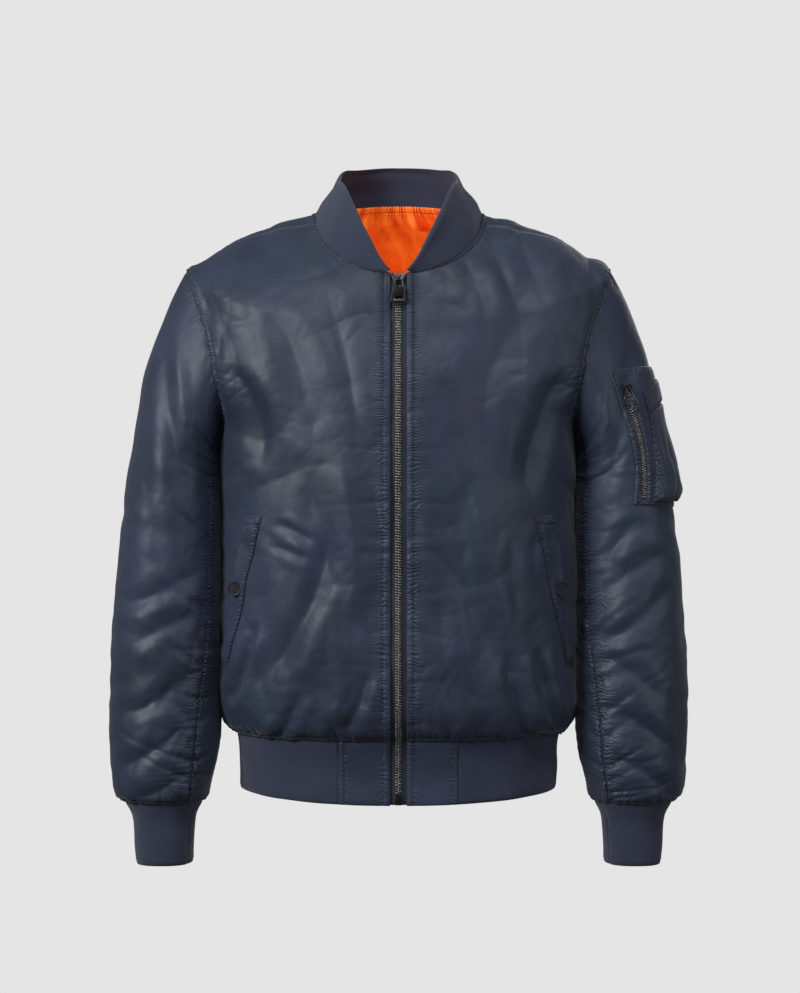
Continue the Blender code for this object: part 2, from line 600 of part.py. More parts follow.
def laid_on(name, base, points, out, lift, wall, finish):
    """A wall laid on an object's facets: lift above them, wall thick. Both may vary over the grid."""
    tree = BVHTree.FromObject(base, bpy.context.evaluated_depsgraph_get())
    lift, wall = np.broadcast_to(lift, points.shape[:2]), np.broadcast_to(wall, points.shape[:2])
    below, above = np.zeros_like(points), np.zeros_like(points)
    for place in np.ndindex(points.shape[:2]):
        start = Vector(points[place] + out[place] * 0.03)
        hit = tree.ray_cast(start, Vector(-out[place]), 0.06)[0]
        foot = np.array(hit) if hit is not None else points[place]
        below[place] = foot + out[place] * lift[place]
        above[place] = below[place] + out[place] * wall[place]
    return cloth(name, above, below, finish)


def corner_grid(corners, columns, rows):
    """A grid of (degree, run) pairs between four corners: top front, top back, bottom front, bottom back."""
    across = np.linspace(0.0, 1.0, columns + 1)[None, :, None]
    down = np.linspace(0.0, 1.0, rows + 1)[:, None, None]
    top_front, top_back, bottom_front, bottom_back = (np.array(corner) for corner in corners)
    top = top_front * (1 - across) + top_back * across
    bottom = bottom_front * (1 - across) + bottom_back * across
    return top * (1 - down) + bottom * down


def welt(name, side, base):
    """Welt of a slanted side pocket, standing on the front panel."""
    share = np.linspace(0.0, 1.0, 10)[:, None]
    run = WELT_TOP + (WELT_BOTTOM - WELT_TOP) * share
    low = WELT_ANGLES_TOP[0] + (WELT_ANGLES_BOTTOM[0] - WELT_ANGLES_TOP[0]) * share
    high = WELT_ANGLES_TOP[1] + (WELT_ANGLES_BOTTOM[1] - WELT_ANGLES_TOP[1]) * share
    across = np.linspace(0.0, 1.0, 4)[None, :]
    angle = (low * (1 - across) + high * across) * side
    run = run + 0 * across
    return laid_on(name, base, torso_wall(angle, run), torso_out(angle, run), LAID_LIFT, WELT_WALL, NAVY_SHELL)


def frame_on(base, point, out, up):
    """A matrix standing on an object's facets: x to the right, y up the cloth, z out of it."""
    tree = BVHTree.FromObject(base, bpy.context.evaluated_depsgraph_get())
    start = Vector(point + out * 0.03)
    hit = tree.ray_cast(start, Vector(-out), 0.06)[0]
    foot = hit if hit is not None else Vector(point)
    return axes_at(foot, out, up)


def axes_at(origin, out, up):
    z = Vector(out).normalized()
    y = (Vector(up) - z * Vector(up).dot(z)).normalized()
    x = y.cross(z)
    matrix = Matrix((x, y, z)).transposed().to_4x4()
    matrix.translation = origin
    return matrix


def prism(name, outline, low, high, finish, matrix, where=None):
    """An outline in x and y, as a solid from low to high in z."""
    shape = bmesh.new()
    base = [shape.verts.new((x, y, low)) for x, y in outline]
    top = [shape.verts.new((x, y, high)) for x, y in outline]
    shape.faces.new(base[::-1])
    shape.faces.new(top)
    for i in range(len(base)):
        k = (i + 1) % len(base)
        shape.faces.new((base[i], base[k], top[k], top[i]))
    bmesh.ops.recalc_face_normals(shape, faces=shape.faces)
    mesh = bpy.data.meshes.new(name)
    shape.to_mesh(mesh)
    shape.free()
    made = add_object(name, mesh, finish, matrix)
    if where is not None:
        jacket.objects.unlink(made)
        where.objects.link(made)
        made.hide_render = True
        made.display_type = "WIRE"
    return made


def cut(target, tool, operation="DIFFERENCE"):
    step = target.modifiers.new(tool.name, "BOOLEAN")
    step.object = tool
    step.operation = operation
    step.solver = "EXACT"


def rounded(width_top, width_bottom, top, bottom, radius, steps=4):
    """A tapered tab's outline with rounded corners, from its top edge down to its bottom one."""
    corners = [
        (width_bottom / 2, bottom, -90.0),
        (width_top / 2, top, 0.0),
        (-width_top / 2, top, 90.0),
        (-width_bottom / 2, bottom, 180.0),
    ]
    outline = []
    for x, y, start in corners:
        middle_x = x - math.copysign(radius, x)
        middle_y = y - radius if y == top else y + radius
        for step in range(steps + 1):
            turn = math.radians(start + 90.0 * step / steps)
            outline.append((middle_x + radius * math.cos(turn), middle_y + radius * math.sin(turn)))
    return outline


def snap(name, base, point, out, up):
    """A press stud's cap, with a bevelled edge."""
    matrix = frame_on(base, point, out, up)
    turns = [2 * math.pi * i / 20 for i in range(20)]
    outline = [(SNAP_RADIUS * math.cos(t), SNAP_RADIUS * math.sin(t)) for t in turns]
    made = prism(name, outline, LAID_LIFT, LAID_LIFT + SNAP_HEIGHT, DARK_METAL, matrix)
    edge = made.modifiers.new("rounded edge", "BEVEL")
    edge.width = 0.0009
    edge.limit_method = "ANGLE"
    edge.angle_limit = math.radians(60)
    return made


def slider_and_pull(slider_name, pull_name, matrix, scale):
    """A zip slider with its bridge, and the pull tab hanging from the bridge, which turns about the bridge."""
    s = scale
    half, length = SLIDER_WIDTH / 2 * s, SLIDER_LENGTH * s
    waist = half * 0.62
    body = [
        (waist, -length),
        (half, -length * 0.35),
        (half, -length * 0.12),
        (half * 0.75, 0.0),
        (half * 0.30, -length * 0.04),
        (0.0, -length * 0.16),
        (-half * 0.30, -length * 0.04),
        (-half * 0.75, 0.0),
        (-half, -length * 0.12),
        (-half, -length * 0.35),
        (-waist, -length),
    ]
    slider = prism(slider_name, body, 0.0, 0.0018 * s, DARK_METAL, matrix)
    width, reach = BRIDGE_WIDTH / 2 * s, BRIDGE_LENGTH * s
    low = -length * 0.16 - reach
    rise = 0.0018 * s + BRIDGE_HEIGHT * s
    arch = [(-width, low), (width, low), (width, -length * 0.20), (-width, -length * 0.20)]
    bridge = prism(slider_name + "_bridge", arch, 0.0006 * s, rise, None, matrix, tools)
    hole = [(-width * 2, low + 0.0016 * s), (width * 2, low + 0.0016 * s)]
    hole += [(width * 2, -length * 0.20 - 0.0016 * s), (-width * 2, -length * 0.20 - 0.0016 * s)]
    gap = prism(slider_name + "_gap", hole, 0.0018 * s, rise - 0.0013 * s, None, matrix, tools)
    cut(slider, bridge, "UNION")
    cut(slider, gap)

    bar = PULL_BAR * s
    axis = Vector((0.0, low + 0.0016 * s + bar, 0.0018 * s + bar))
    pull_matrix = matrix @ Matrix.Translation(axis)
    thick = PULL_WALL * s / 2
    top, end = bar * 0.5, -PULL_LENGTH * s
    tab = rounded(PULL_TOP_WIDTH * s, PULL_END_WIDTH * s, top, end, 0.0016 * s)
    pull = prism(pull_name, tab, -thick, thick, DARK_METAL, pull_matrix)
    slot = rounded(PULL_TOP_WIDTH * s * 0.58, PULL_TOP_WIDTH * s * 0.62, top - bar, -0.0098 * s, 0.0010 * s)
    window = rounded(PULL_END_WIDTH * s * 0.46, PULL_END_WIDTH * s * 0.52, -0.0135 * s, end + 0.0034 * s, 0.0010 * s)
    for label, outline in (("slot", slot), ("window", window)):
        cut(pull, prism(f"{pull_name}_{label}", outline, -0.004, 0.004, None, pull_matrix, tools))
    return slider, pull


# ---------------------------------------------------------------- the jacket

empty_scene()
jacket = collection_of("bomber_jacket")
tools = collection_of("cutters")

fronts = {1: front_panel("front_left", 1), -1: front_panel("front_right", -1)}
back_panel("back")
back_lining("lining_back")
collar("collar")
hem_rib("hem_rib")
for label, side in (("left", 1), ("right", -1)):
    hem_tab(f"hem_tab_{label}", side)
    sleeve_piece(f"sleeve_{label}_under", side, "under")
    cuff(f"cuff_{label}", side)
arms = {
    1: sleeve_piece("sleeve_left_top", 1, "top"),
    -1: sleeve_piece("sleeve_right_top", -1, "top"),
}

# Front zip
for label, side in (("left", 1), ("right", -1)):
    tape_run = zip_runs(0.0005, TAPE_TOP)[:, None]
    offset = np.linspace(TAPE_INNER, TAPE_OUTER, 3)[None, :]
    tape_angle = angle_at(offset, tape_run) * side
    tape_run = tape_run + 0 * offset
    cloth(
        f"zip_tape_{label}",
        torso_wall(tape_angle, tape_run, TAPE_DEPTH),
        torso_wall(tape_angle, tape_run, TAPE_DEPTH + TAPE_WALL),
        NAVY_TAPE,
    )
chain_run = zip_runs(BOX_HEIGHT + 0.0005, CHAIN_TOP)[:, None]
chain_offset = np.array([[-CHAIN_HALF, CHAIN_HALF]])
chain_angle = angle_at(chain_offset, chain_run)
chain_run = chain_run + 0 * chain_offset
cloth(
    "zip_chain",
    torso_wall(chain_angle, chain_run, CHAIN_DEPTH),
    torso_wall(chain_angle, chain_run, CHAIN_DEPTH + CHAIN_WALL),
    DARK_METAL,
)

front_middle = torso_form(0.0, SLIDER_TOP_RUN)
front_below = torso_form(0.0, SLIDER_TOP_RUN - 0.012)
front_out = torso_out(0.0, SLIDER_TOP_RUN - 0.006)
slider_matrix = axes_at(Vector(front_middle - front_out * SLIDER_DEPTH), front_out, front_middle - front_below)
slider_and_pull("zip_slider", "zip_pull", slider_matrix, 1.0)
box_top, box_low = torso_form(0.0, BOX_HEIGHT), torso_form(0.0, 0.0)
box_out = torso_out(0.0, BOX_HEIGHT / 2)
box_matrix = axes_at(Vector(box_top), box_out, box_top - box_low)
box_outline = [(-CHAIN_HALF, -BOX_HEIGHT), (CHAIN_HALF, -BOX_HEIGHT), (CHAIN_HALF, 0.0), (-CHAIN_HALF, 0.0)]
prism("zip_box", box_outline, -CHAIN_DEPTH - CHAIN_WALL, -CHAIN_DEPTH + 0.0016, DARK_METAL, box_matrix)

# Side pockets
for label, side in (("left", 1), ("right", -1)):
    strip = welt(f"welt_{label}", side, fronts[side])
    share = SNAP_SHARE
    run = WELT_TOP + (WELT_BOTTOM - WELT_TOP) * share
    middle_top, middle_bottom = sum(WELT_ANGLES_TOP) / 2, sum(WELT_ANGLES_BOTTOM) / 2
    angle = (middle_top + (middle_bottom - middle_top) * share) * side
    snap(f"snap_{label}", strip, torso_wall(angle, run), torso_out(angle, run), (0.0, 0.0, 1.0))

# Utility pocket on the wearer's left sleeve
patch_grid = corner_grid(PATCH_CORNERS, 10, 10)
arch = 4 * np.linspace(0.0, 1.0, 11) * (1 - np.linspace(0.0, 1.0, 11))
patch_grid[..., 1] += PATCH_ARCH * arch[None, :] * np.linspace(1.0, 0.0, 11)[:, None]
patch_points = sleeve_wall(1, patch_grid[..., 0], patch_grid[..., 1])
patch_out = sleeve_out(patch_grid[..., 0], patch_grid[..., 1])
patch = laid_on(
    "pocket_patch", arms[1], patch_points, patch_out, PATCH_LIFT, PATCH_WALL, NAVY_SHELL
)
pen_grid = corner_grid(PEN_CORNERS, 8, 8)
across = np.linspace(0.0, 1.0, 9)[None, :]
down = np.linspace(0.0, 1.0, 9)[:, None]
bulge = PEN_BULGE * np.sin(np.pi * across) ** 0.7 * np.sin(np.pi * down**2.2 * 0.94) ** 0.8
pen_points = sleeve_wall(1, pen_grid[..., 0], pen_grid[..., 1])
pen_out = sleeve_out(pen_grid[..., 0], pen_grid[..., 1])
laid_on("pen_pocket", patch, pen_points, pen_out, PEN_LIFT + bulge, PEN_WALL, NAVY_SHELL)
band_grid = corner_grid(BAND_CORNERS, 8, 2)
band_points = sleeve_wall(1, band_grid[..., 0], band_grid[..., 1])
band_out = sleeve_out(band_grid[..., 0], band_grid[..., 1])
laid_on("pen_band", patch, band_points, band_out, PEN_LIFT, PEN_WALL, NAVY_SHELL)

zip_share = np.linspace(0.0, 1.0, 9)[:, None]
zip_line = np.array(POCKET_ZIP_TOP) * (1 - zip_share) + np.array(POCKET_ZIP_BOTTOM) * zip_share
spread = math.degrees(POCKET_CHAIN_HALF / 0.055)
zip_turn = zip_line[:, :1] + np.array([[-spread, spread]])
zip_run = zip_line[:, 1:] + np.zeros((1, 2))
chain = laid_on(
    "pocket_chain",
    patch,
    sleeve_wall(1, zip_turn, zip_run),
    sleeve_out(zip_turn, zip_run),
    LAID_LIFT,
    POCKET_CHAIN_WALL,
    DARK_METAL,
)
top_turn, top_run = POCKET_ZIP_TOP
low_turn, low_run = zip_line[2]
pocket_top = sleeve_wall(1, top_turn, top_run)
pocket_low = sleeve_wall(1, low_turn, low_run)
pocket_out = sleeve_out(np.array(top_turn), np.array(top_run))
pocket_matrix = frame_on(patch, pocket_top, pocket_out, pocket_top - pocket_low)
pocket_matrix = pocket_matrix @ Matrix.Translation((0.0, POCKET_SLIDER_ABOVE, POCKET_SLIDER_LIFT))
slider_and_pull("pocket_slider", "pocket_pull", pocket_matrix, POCKET_SCALE)
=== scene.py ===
import math

import bmesh
import bpy
import numpy as np
from mathutils import Matrix, Vector


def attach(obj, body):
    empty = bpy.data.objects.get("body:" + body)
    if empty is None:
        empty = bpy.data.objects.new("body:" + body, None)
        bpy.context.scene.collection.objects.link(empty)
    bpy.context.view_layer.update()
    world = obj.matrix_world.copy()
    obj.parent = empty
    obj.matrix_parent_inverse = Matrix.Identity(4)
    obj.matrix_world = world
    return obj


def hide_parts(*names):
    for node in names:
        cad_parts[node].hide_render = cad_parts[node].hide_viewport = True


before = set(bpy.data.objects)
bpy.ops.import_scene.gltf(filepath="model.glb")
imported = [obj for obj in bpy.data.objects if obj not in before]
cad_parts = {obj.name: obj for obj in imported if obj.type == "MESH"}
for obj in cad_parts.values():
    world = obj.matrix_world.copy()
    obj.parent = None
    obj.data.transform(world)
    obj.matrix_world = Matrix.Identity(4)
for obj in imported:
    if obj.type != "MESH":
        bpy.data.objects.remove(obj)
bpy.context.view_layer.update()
scene = bpy.context.scene
print("frame loaded")

# The jacket's own sizes, in metres. Front faces -Y, +X is the wearer's left, the origin is the neck base.
cloth = {"shell": 0.0018, "knit": 0.0026, "lining": 0.0010, "gap": -0.0002}
zipSizes = {"edge": 0.0090, "topstitch": 0.0168, "tapeOut": 0.0165, "tab": 0.0660}
ribSeam, underarm, shoulder, neckline, collarTop = 0.066, 0.415, 0.600, 0.770, 0.825
sideSeam, shoulderAtNeck = 94.0, 80.0
armholeFront, armholeBack, armholeMiddle, armholeHalf = 32.0, 30.5, 0.5075, 0.0925
cuffSeam, cuffEnd, capRun = 0.518, 0.588, 0.150
# turn angles into lengths along cloth
torsoRadius, armRadius, pocketRadius, holeRadius = 0.19, 0.055, 0.056, 0.088
stitchLift = 0.00012
sides = (("left", 1), ("right", -1))

torsoColumns = ("run", "halfWidth", "front", "back", "zSide", "zFront", "zBack", "square", "dip")
torsoRings = [
    (0.000, 0.1800, 0.1040, 0.1070, -0.6500, -0.6600, -0.6520, 2.3, 2.0),
    (0.033, 0.1805, 0.1050, 0.1080, -0.6190, -0.6250, -0.6200, 2.3, 2.0),
    (0.066, 0.1840, 0.1100, 0.1110, -0.5885, -0.5905, -0.5880, 2.3, 2.0),
    (0.086, 0.1955, 0.1240, 0.1215, -0.5750, -0.5765, -0.5740, 2.3, 2.0),
    (0.115, 0.2010, 0.1335, 0.1285, -0.5500, -0.5500, -0.5480, 2.3, 2.0),
    (0.180, 0.2015, 0.1370, 0.1300, -0.4850, -0.4850, -0.4830, 2.3, 2.0),
    (0.250, 0.2000, 0.1360, 0.1310, -0.4150, -0.4150, -0.4130, 2.3, 2.0),
    (0.330, 0.1990, 0.1370, 0.1380, -0.3350, -0.3350, -0.3330, 2.3, 2.0),
    (0.415, 0.2005, 0.1350, 0.1430, -0.2500, -0.2620, -0.2480, 2.3, 1.8),
    (0.510, 0.2370, 0.1270, 0.1420, -0.1570, -0.1970, -0.1600, 2.3, 1.6),
    (0.600, 0.2405, 0.1130, 0.1260, -0.0670, -0.1380, -0.0820, 2.2, 1.4),
    (0.640, 0.2060, 0.1095, 0.1150, -0.0430, -0.1210, -0.0530, 2.15, 1.3),
    (0.680, 0.1740, 0.1060, 0.1030, -0.0265, -0.1040, -0.0260, 2.1, 1.2),
    (0.725, 0.1360, 0.1020, 0.0900, -0.0110, -0.0900, -0.0030, 2.05, 1.1),
    (0.770, 0.0950, 0.0980, 0.0780, 0.0000, -0.0770, 0.0150, 2.0, 1.0),
    (0.785, 0.0875, 0.0985, 0.0765, 0.0135, -0.0765, 0.0300, 2.0, 1.2),
    (0.804, 0.0760, 0.0995, 0.0725, 0.0310, -0.0760, 0.0460, 2.0, 1.6),
    (0.825, 0.0665, 0.1005, 0.0680, 0.0490, -0.0745, 0.0610, 2.0, 2.0),
]
sleeveColumns = ("run", "z", "outer", "inner", "front", "back")
sleeveSections = [
    (0.150, -0.3035, 0.3076, 0.2065, -0.0740, 0.0780),
    (0.200, -0.3547, 0.3132, 0.2060, -0.0760, 0.0720),
    (0.250, -0.4059, 0.3189, 0.2060, -0.0770, 0.0670),
    (0.300, -0.4570, 0.3223, 0.2060, -0.0790, 0.0610),
    (0.350, -0.5082, 0.3246, 0.2060, -0.0810, 0.0540),
    (0.400, -0.5594, 0.3260, 0.2060, -0.0820, 0.0470),
    (0.450, -0.6105, 0.3240, 0.2075, -0.0820, 0.0390),
    (0.485, -0.6400, 0.3214, 0.2110, -0.0800, 0.0310),
    (0.505, -0.6555, 0.3180, 0.2135, -0.0760, 0.0240),
    (0.518, -0.6635, 0.3092, 0.2190, -0.0700, 0.0170),
    (0.536, -0.6820, 0.2998, 0.2275, -0.0640, 0.0130),
    (0.560, -0.7065, 0.2972, 0.2298, -0.0630, 0.0120),
    (0.588, -0.7330, 0.2965, 0.2308, -0.0620, 0.0120),
]
seamColumns = ("run", "front", "back")
sleeveSeams = [
    (0.000, -54.0, -126.0),
    (0.150, -58.0, -124.0),
    (0.300, -56.0, -122.0),
    (0.420, -42.0, -130.0),
    (0.518, -38.0, -134.0),
]


def addObject(name, data):
    made = bpy.data.objects.new(name, data)
    scene.collection.objects.link(made)
    return made


def pair(first, second):
    return np.broadcast_arrays(np.asarray(first, float), np.asarray(second, float))


def signed(angle):  # the same angle between -180 and 180
    return (angle + 180.0) % 360.0 - 180.0


def unit(vectors):
    return vectors / np.maximum(np.linalg.norm(vectors, axis=-1, keepdims=True), 1e-12)


def ease(t):
    t = np.clip(t, 0.0, 1.0)
    return t * t * (3 - 2 * t)


def bump(distance, width):
    return np.exp(-((distance / width) ** 2))


def fromRows(rows, columns, run):  # every column at each run, by a monotone cubic
    rows = np.array(rows)
    knots, step = rows[:, 0], np.diff(rows[:, 0])
    run = np.asarray(run, float)
    place = np.clip(np.searchsorted(knots, run, side="right") - 1, 0, len(knots) - 2)
    t = np.clip((run - knots[place]) / step[place], 0.0, 1.0)
    found = {}
    for column, values in zip(columns[1:], rows[:, 1:].T):
        rise = np.diff(values) / step
        slope = np.zeros_like(values)
        slope[0], slope[-1] = rise[0], rise[-1]
        before, after, total = rise[:-1], rise[1:], step[:-1] + step[1:]
        sameWay = before * after > 0
        low, high = (total + step[1:]) / (3 * total), (total + step[:-1]) / (3 * total)
        mean = low / np.where(sameWay, before, 1.0) + high / np.where(sameWay, after, 1.0)
        slope[1:-1] = np.where(sameWay, 1.0 / mean, 0.0)
        found[column] = (
            (2 * t**3 - 3 * t**2 + 1) * values[place]
            + (t**3 - 2 * t**2 + t) * step[place] * slope[place]
            + (3 * t**2 - 2 * t**3) * values[place + 1]
            + (t**3 - t**2) * step[place] * slope[place + 1]
        )
    return found


def torsoForm(angle, run):
    angle, run = pair(angle, run)
    ring = fromRows(torsoRings, torsoColumns, run)
    sine, cosine = np.sin(np.radians(angle)), np.cos(np.radians(angle))
    square = ring["square"]
    size = (np.abs(sine) ** square + np.abs(cosine) ** square) ** (1 / square)
    across, along = sine / size, cosine / size
    depth = np.where(along > 0, ring["front"], ring["back"])
    centre = np.where(along > 0, ring["zFront"], ring["zBack"])
    height = ring["zSide"] + (centre - ring["zSide"]) * np.abs(along) ** ring["dip"]
    return np.stack([ring["halfWidth"] * across, -depth * along, height], axis=-1)


def torsoOut(angle, run):
    run = np.asarray(run, float)
    low, high = np.maximum(run - 0.002, 0.0), np.minimum(run + 0.002, collarTop)
    roundIt = torsoForm(angle + 0.5, run) - torsoForm(angle - 0.5, run)
    return unit(np.cross(roundIt, torsoForm(angle, high) - torsoForm(angle, low)))


def angleAt(offset, run):
    halfWidth = fromRows(torsoRings, torsoColumns, run)["halfWidth"]
    return np.degrees(np.arcsin(np.clip(offset / halfWidth, -1, 1)))


def armhole(turn):
    sine, cosine = np.sin(np.radians(turn)), np.cos(np.radians(turn))
    reach = np.where(cosine > 0, armholeFront, armholeBack)
    return 90.0 - reach * cosine, armholeMiddle + armholeHalf * sine


def sleeveSection(turn, run):
    part = fromRows(sleeveSections, sleeveColumns, run)
    sine, cosine = np.sin(np.radians(turn)), np.cos(np.radians(turn))
    size = (np.abs(sine) ** 2.15 + np.abs(cosine) ** 2.15) ** (1 / 2.15)
    middleX, halfX = (part["outer"] + part["inner"]) / 2, (part["outer"] - part["inner"]) / 2
    middleY, halfY = (part["front"] + part["back"]) / 2, (part["back"] - part["front"]) / 2
    return np.stack([middleX + halfX * sine / size, middleY - halfY * cosine / size, part["z"]], axis=-1)


def armholeEdge(turn):  # where a sleeve starts, on the body's own cloth
    angle, run = armhole(turn)
    edge = torsoForm(angle, run)
    middle = torsoForm(np.full_like(turn, 90.0), np.full_like(turn, armholeMiddle))
    return edge - 0.0006 * torsoOut(angle, run) - 0.0022 * unit(middle - edge)


def sleeveForm(turn, run):
    turn, run = pair(turn, run)
    below = sleeveSection(turn, np.maximum(run, capRun))
    start, end = armholeEdge(turn), sleeveSection(turn, np.full_like(run, capRun))
    reach = np.linalg.norm(end - start, axis=-1, keepdims=True)
    sine, cosine = np.sin(np.radians(turn)), np.cos(np.radians(turn))
    spread = 0.30 * np.maximum(sine, 0) + 1.20 * np.maximum(-sine, 0)
    puff = np.stack([spread, -0.12 * cosine, 0 * sine], axis=-1)
    leave = unit(end - start + puff * reach) * reach
    down = unit(sleeveSection(turn, np.full_like(run, capRun + 0.004)) - end) * reach
    t = np.clip(run / capRun, 0.0, 1.0)[..., None]
    cap = (2 * t**3 - 3 * t**2 + 1) * start + (t**3 - 2 * t**2 + t) * leave
    cap = cap + (3 * t**2 - 2 * t**3) * end + (t**3 - t**2) * down
    return np.where((run < capRun)[..., None], cap, below)


def sleeveOut(turn, run):
    run = np.asarray(run, float)
    low, high = np.maximum(run - 0.002, 0.0), np.minimum(run + 0.002, cuffEnd)
    roundIt = sleeveForm(turn + 1.0, run) - sleeveForm(turn - 1.0, run)
    own = unit(np.cross(sleeveForm(turn, high) - sleeveForm(turn, low), roundIt))
    body = torsoOut(*armhole(turn))
    alike = ease(((own * body).sum(-1) + 0.3) / 0.8)
    share = (alike * (1.0 - ease(run / 0.012)))[..., None]
    return unit(own * (1 - share) + body * share)


# Creases and gathers

def waves(along, length, seed):  # an uneven wave with a few neighbouring wavelengths, about -1 to 1
    rng = np.random.default_rng(seed)
    total = 0.0
    for part in range(5):
        period = length * rng.uniform(0.7, 1.5)
        total += np.sin(2 * np.pi * along / period + rng.uniform(0, 6.28)) * rng.uniform(0.6, 1.0)
    return total / 2.4


def dapple(a, b, size, seed):  # soft uneven swells over a surface, about -1 to 1
    rng = np.random.default_rng(seed)
    total = 0.0
    for part in range(9):
        way, period = rng.uniform(0, 6.28), size * rng.uniform(0.7, 1.6)
        total += np.sin(2 * np.pi * (a * math.cos(way) + b * math.sin(way)) / period + rng.uniform(0, 6.28))
    return total / 4.0


# rounded ridges with sharp valleys between, fading with distance
def gathers(along, away, length, reach, seed):
    fan = along + 0.25 * away * waves(along, length * 4, seed + 7)
    phase = np.pi * fan / length + 1.3 * waves(along, length * 3, seed + 1)
    ridge = np.sqrt(np.abs(np.sin(phase)) + 0.02) - 0.72
    uneven = np.maximum(0.75 + 0.5 * waves(along, length * 2.3, seed + 2), 0.1)
    fade = reach * np.clip(0.9 + 0.6 * waves(along, length * 1.7, seed + 3), 0.35, 2.0)
    return ridge * uneven * np.exp(-np.clip(away, 0, 1) / fade) * (1 - 0.85 * bump(away, 0.0022))


def crumple(a, b, size, seed):  # small uneven creases with sharp valleys, in patches
    a2 = a + 0.35 * size * dapple(a, b, size * 2.2, seed + 1)
    b2 = b + 0.35 * size * dapple(a, b, size * 2.0, seed + 2)
    rng = np.random.default_rng(seed)
    total = 0.0
    for part in range(4):
        way, period = rng.uniform(0, math.pi), size * rng.uniform(0.7, 1.5)
        phase = np.pi * (a2 * math.cos(way) + b2 * math.sin(way)) / period + rng.uniform(0, 6.28)
        total += np.sqrt(np.abs(np.sin(phase)) + 0.03) - 0.76
    return total / 2 * (0.25 + 0.75 * ease(0.5 + dapple(a, b, size * 3.5, seed + 3)))


def seamRoll(away, stitch):  # cloth turned into a seam at 0 and held down by a topstitch further on
    turned = -0.0014 * np.exp(-np.maximum(away, 0) / 0.0012)
    if not stitch:
        return turned
    return turned + 0.0006 * bump(away - stitch * 0.5, stitch * 0.42) - 0.0009 * bump(away - stitch, 0.0016)


def creases(table, side, points, facing, share):
    height = np.zeros(points.shape[:-1])
    x, y, z = points[..., 0], points[..., 1], points[..., 2]
    looks = {"front": (x, -facing[..., 1]), "back": (x, facing[..., 1])}
    looks["outer"] = (y, side * facing[..., 0])
    looks["inner"] = (y, -side * facing[..., 0])
    for view, *sizes in table:
        x0, z0, x1, z1, deep, wide, sag = (size / 1000 for size in sizes)
        across, seen = looks[view]
        length = math.hypot(x1 - x0, z1 - z0)
        wayX, wayZ = (x1 - x0) / length, (z1 - z0) / length
        t = ((across - x0) * wayX + (z - z0) * wayZ) / length
        off = -(across - x0) * wayZ + (z - z0) * wayX - sag * 4 * t * (1 - t)
        ends = ease((t + 0.22) / 0.4) * ease((1.22 - t) / 0.4)
        lips = 0.46 * (bump(off - 1.5 * wide, 0.95 * wide) + bump(off + 1.6 * wide, 1.3 * wide))
        valley = np.exp(-np.abs(np.where(off > 0, off / 0.8, off) / wide) ** 1.3)
        height += share[view] * deep * (lips - valley) * ends * ease((seen - 0.05) / 0.35)
    return height


# view, then in millimetres: x (or y) and z of both ends, depth (less than 0 is a ridge), half width, sag
torsoCreases = [
    ("front", -75, -370, -140, -512, 4.2, 16, 10),
    ("front", -60, -300, -50, -440, -3, 22, 6),
    ("front", -160, -470, -182, -545, 4.8, 6, 2),
    ("front", -130, -352, -96, -372, 2.2, 6, 2),
    ("front", -136, -376, -100, -390, 1.8, 6, 1),
    ("front", -35, -520, -60, -580, 3, 9, 3),
    ("front", -110, -540, -130, -585, 3.5, 8, 2),
    ("front", -175, -190, -150, -280, 3.5, 14, 8),
    ("front", -145, -120, -90, -250, 3, 22, 12),
    ("front", 60, -330, 110, -500, 3.6, 18, -12),
    ("front", 45, -440, 60, -560, 3, 14, -4),
    ("front", 120, -500, 140, -585, 4, 10, -2),
    ("front", 155, -500, 172, -570, 4, 7, -2),
    ("front", 180, -190, 140, -300, 3.5, 14, -8),
    ("front", 130, -130, 85, -260, 3, 22, -10),
    ("back", -150, -200, -60, -380, 4.8, 20, 20),
    ("back", 155, -190, 70, -400, 5, 18, -22),
    ("back", -110, -380, -130, -570, 4.8, 16, 6),
    ("back", 40, -360, 60, -560, 4.2, 18, 4),
    ("back", -30, -420, -45, -570, 3.6, 14, -4),
    ("back", 130, -430, 150, -570, 4.8, 12, -4),
    ("back", -170, -260, -140, -330, 4.5, 10, 4),
    ("back", 172, -260, 145, -340, 4.5, 10, -4),
]
leftArmCreases = [
    ("front", 262, -120, 232, -300, 4, 10, 6),
    ("front", 232, -150, 224, -290, -3, 10, 4),
    ("front", 232, -395, 262, -350, 5, 9, 4),
    ("front", 226, -430, 300, -385, 4.2, 12, 6),
    ("front", 232, -480, 296, -430, 5.2, 10, -4),
    ("front", 236, -505, 290, -545, 5, 10, 4),
    ("front", 240, -560, 300, -600, 5.4, 10, 4),
    ("front", 238, -610, 296, -645, 4.6, 8, 3),
    ("front", 300, -540, 315, -630, 3, 10, 3),
    ("outer", -55, -350, 45, -400, 5, 12, 5),
    ("outer", 50, -440, -50, -480, 5.5, 12, 6),
    ("outer", -60, -545, 20, -580, 5, 10, 4),
    ("outer", 40, -560, -40, -625, 4.6, 10, -4),
    ("back", 225, -330, 300, -380, 5.5, 12, 6),
    ("back", 300, -420, 225, -455, 5.8, 12, 5),
    ("back", 228, -500, 305, -545, 5.5, 11, -4),
    ("back", 300, -585, 235, -620, 4.6, 10, 4),
    ("inner", -50, -440, 30, -470, 3, 10, 4),
]
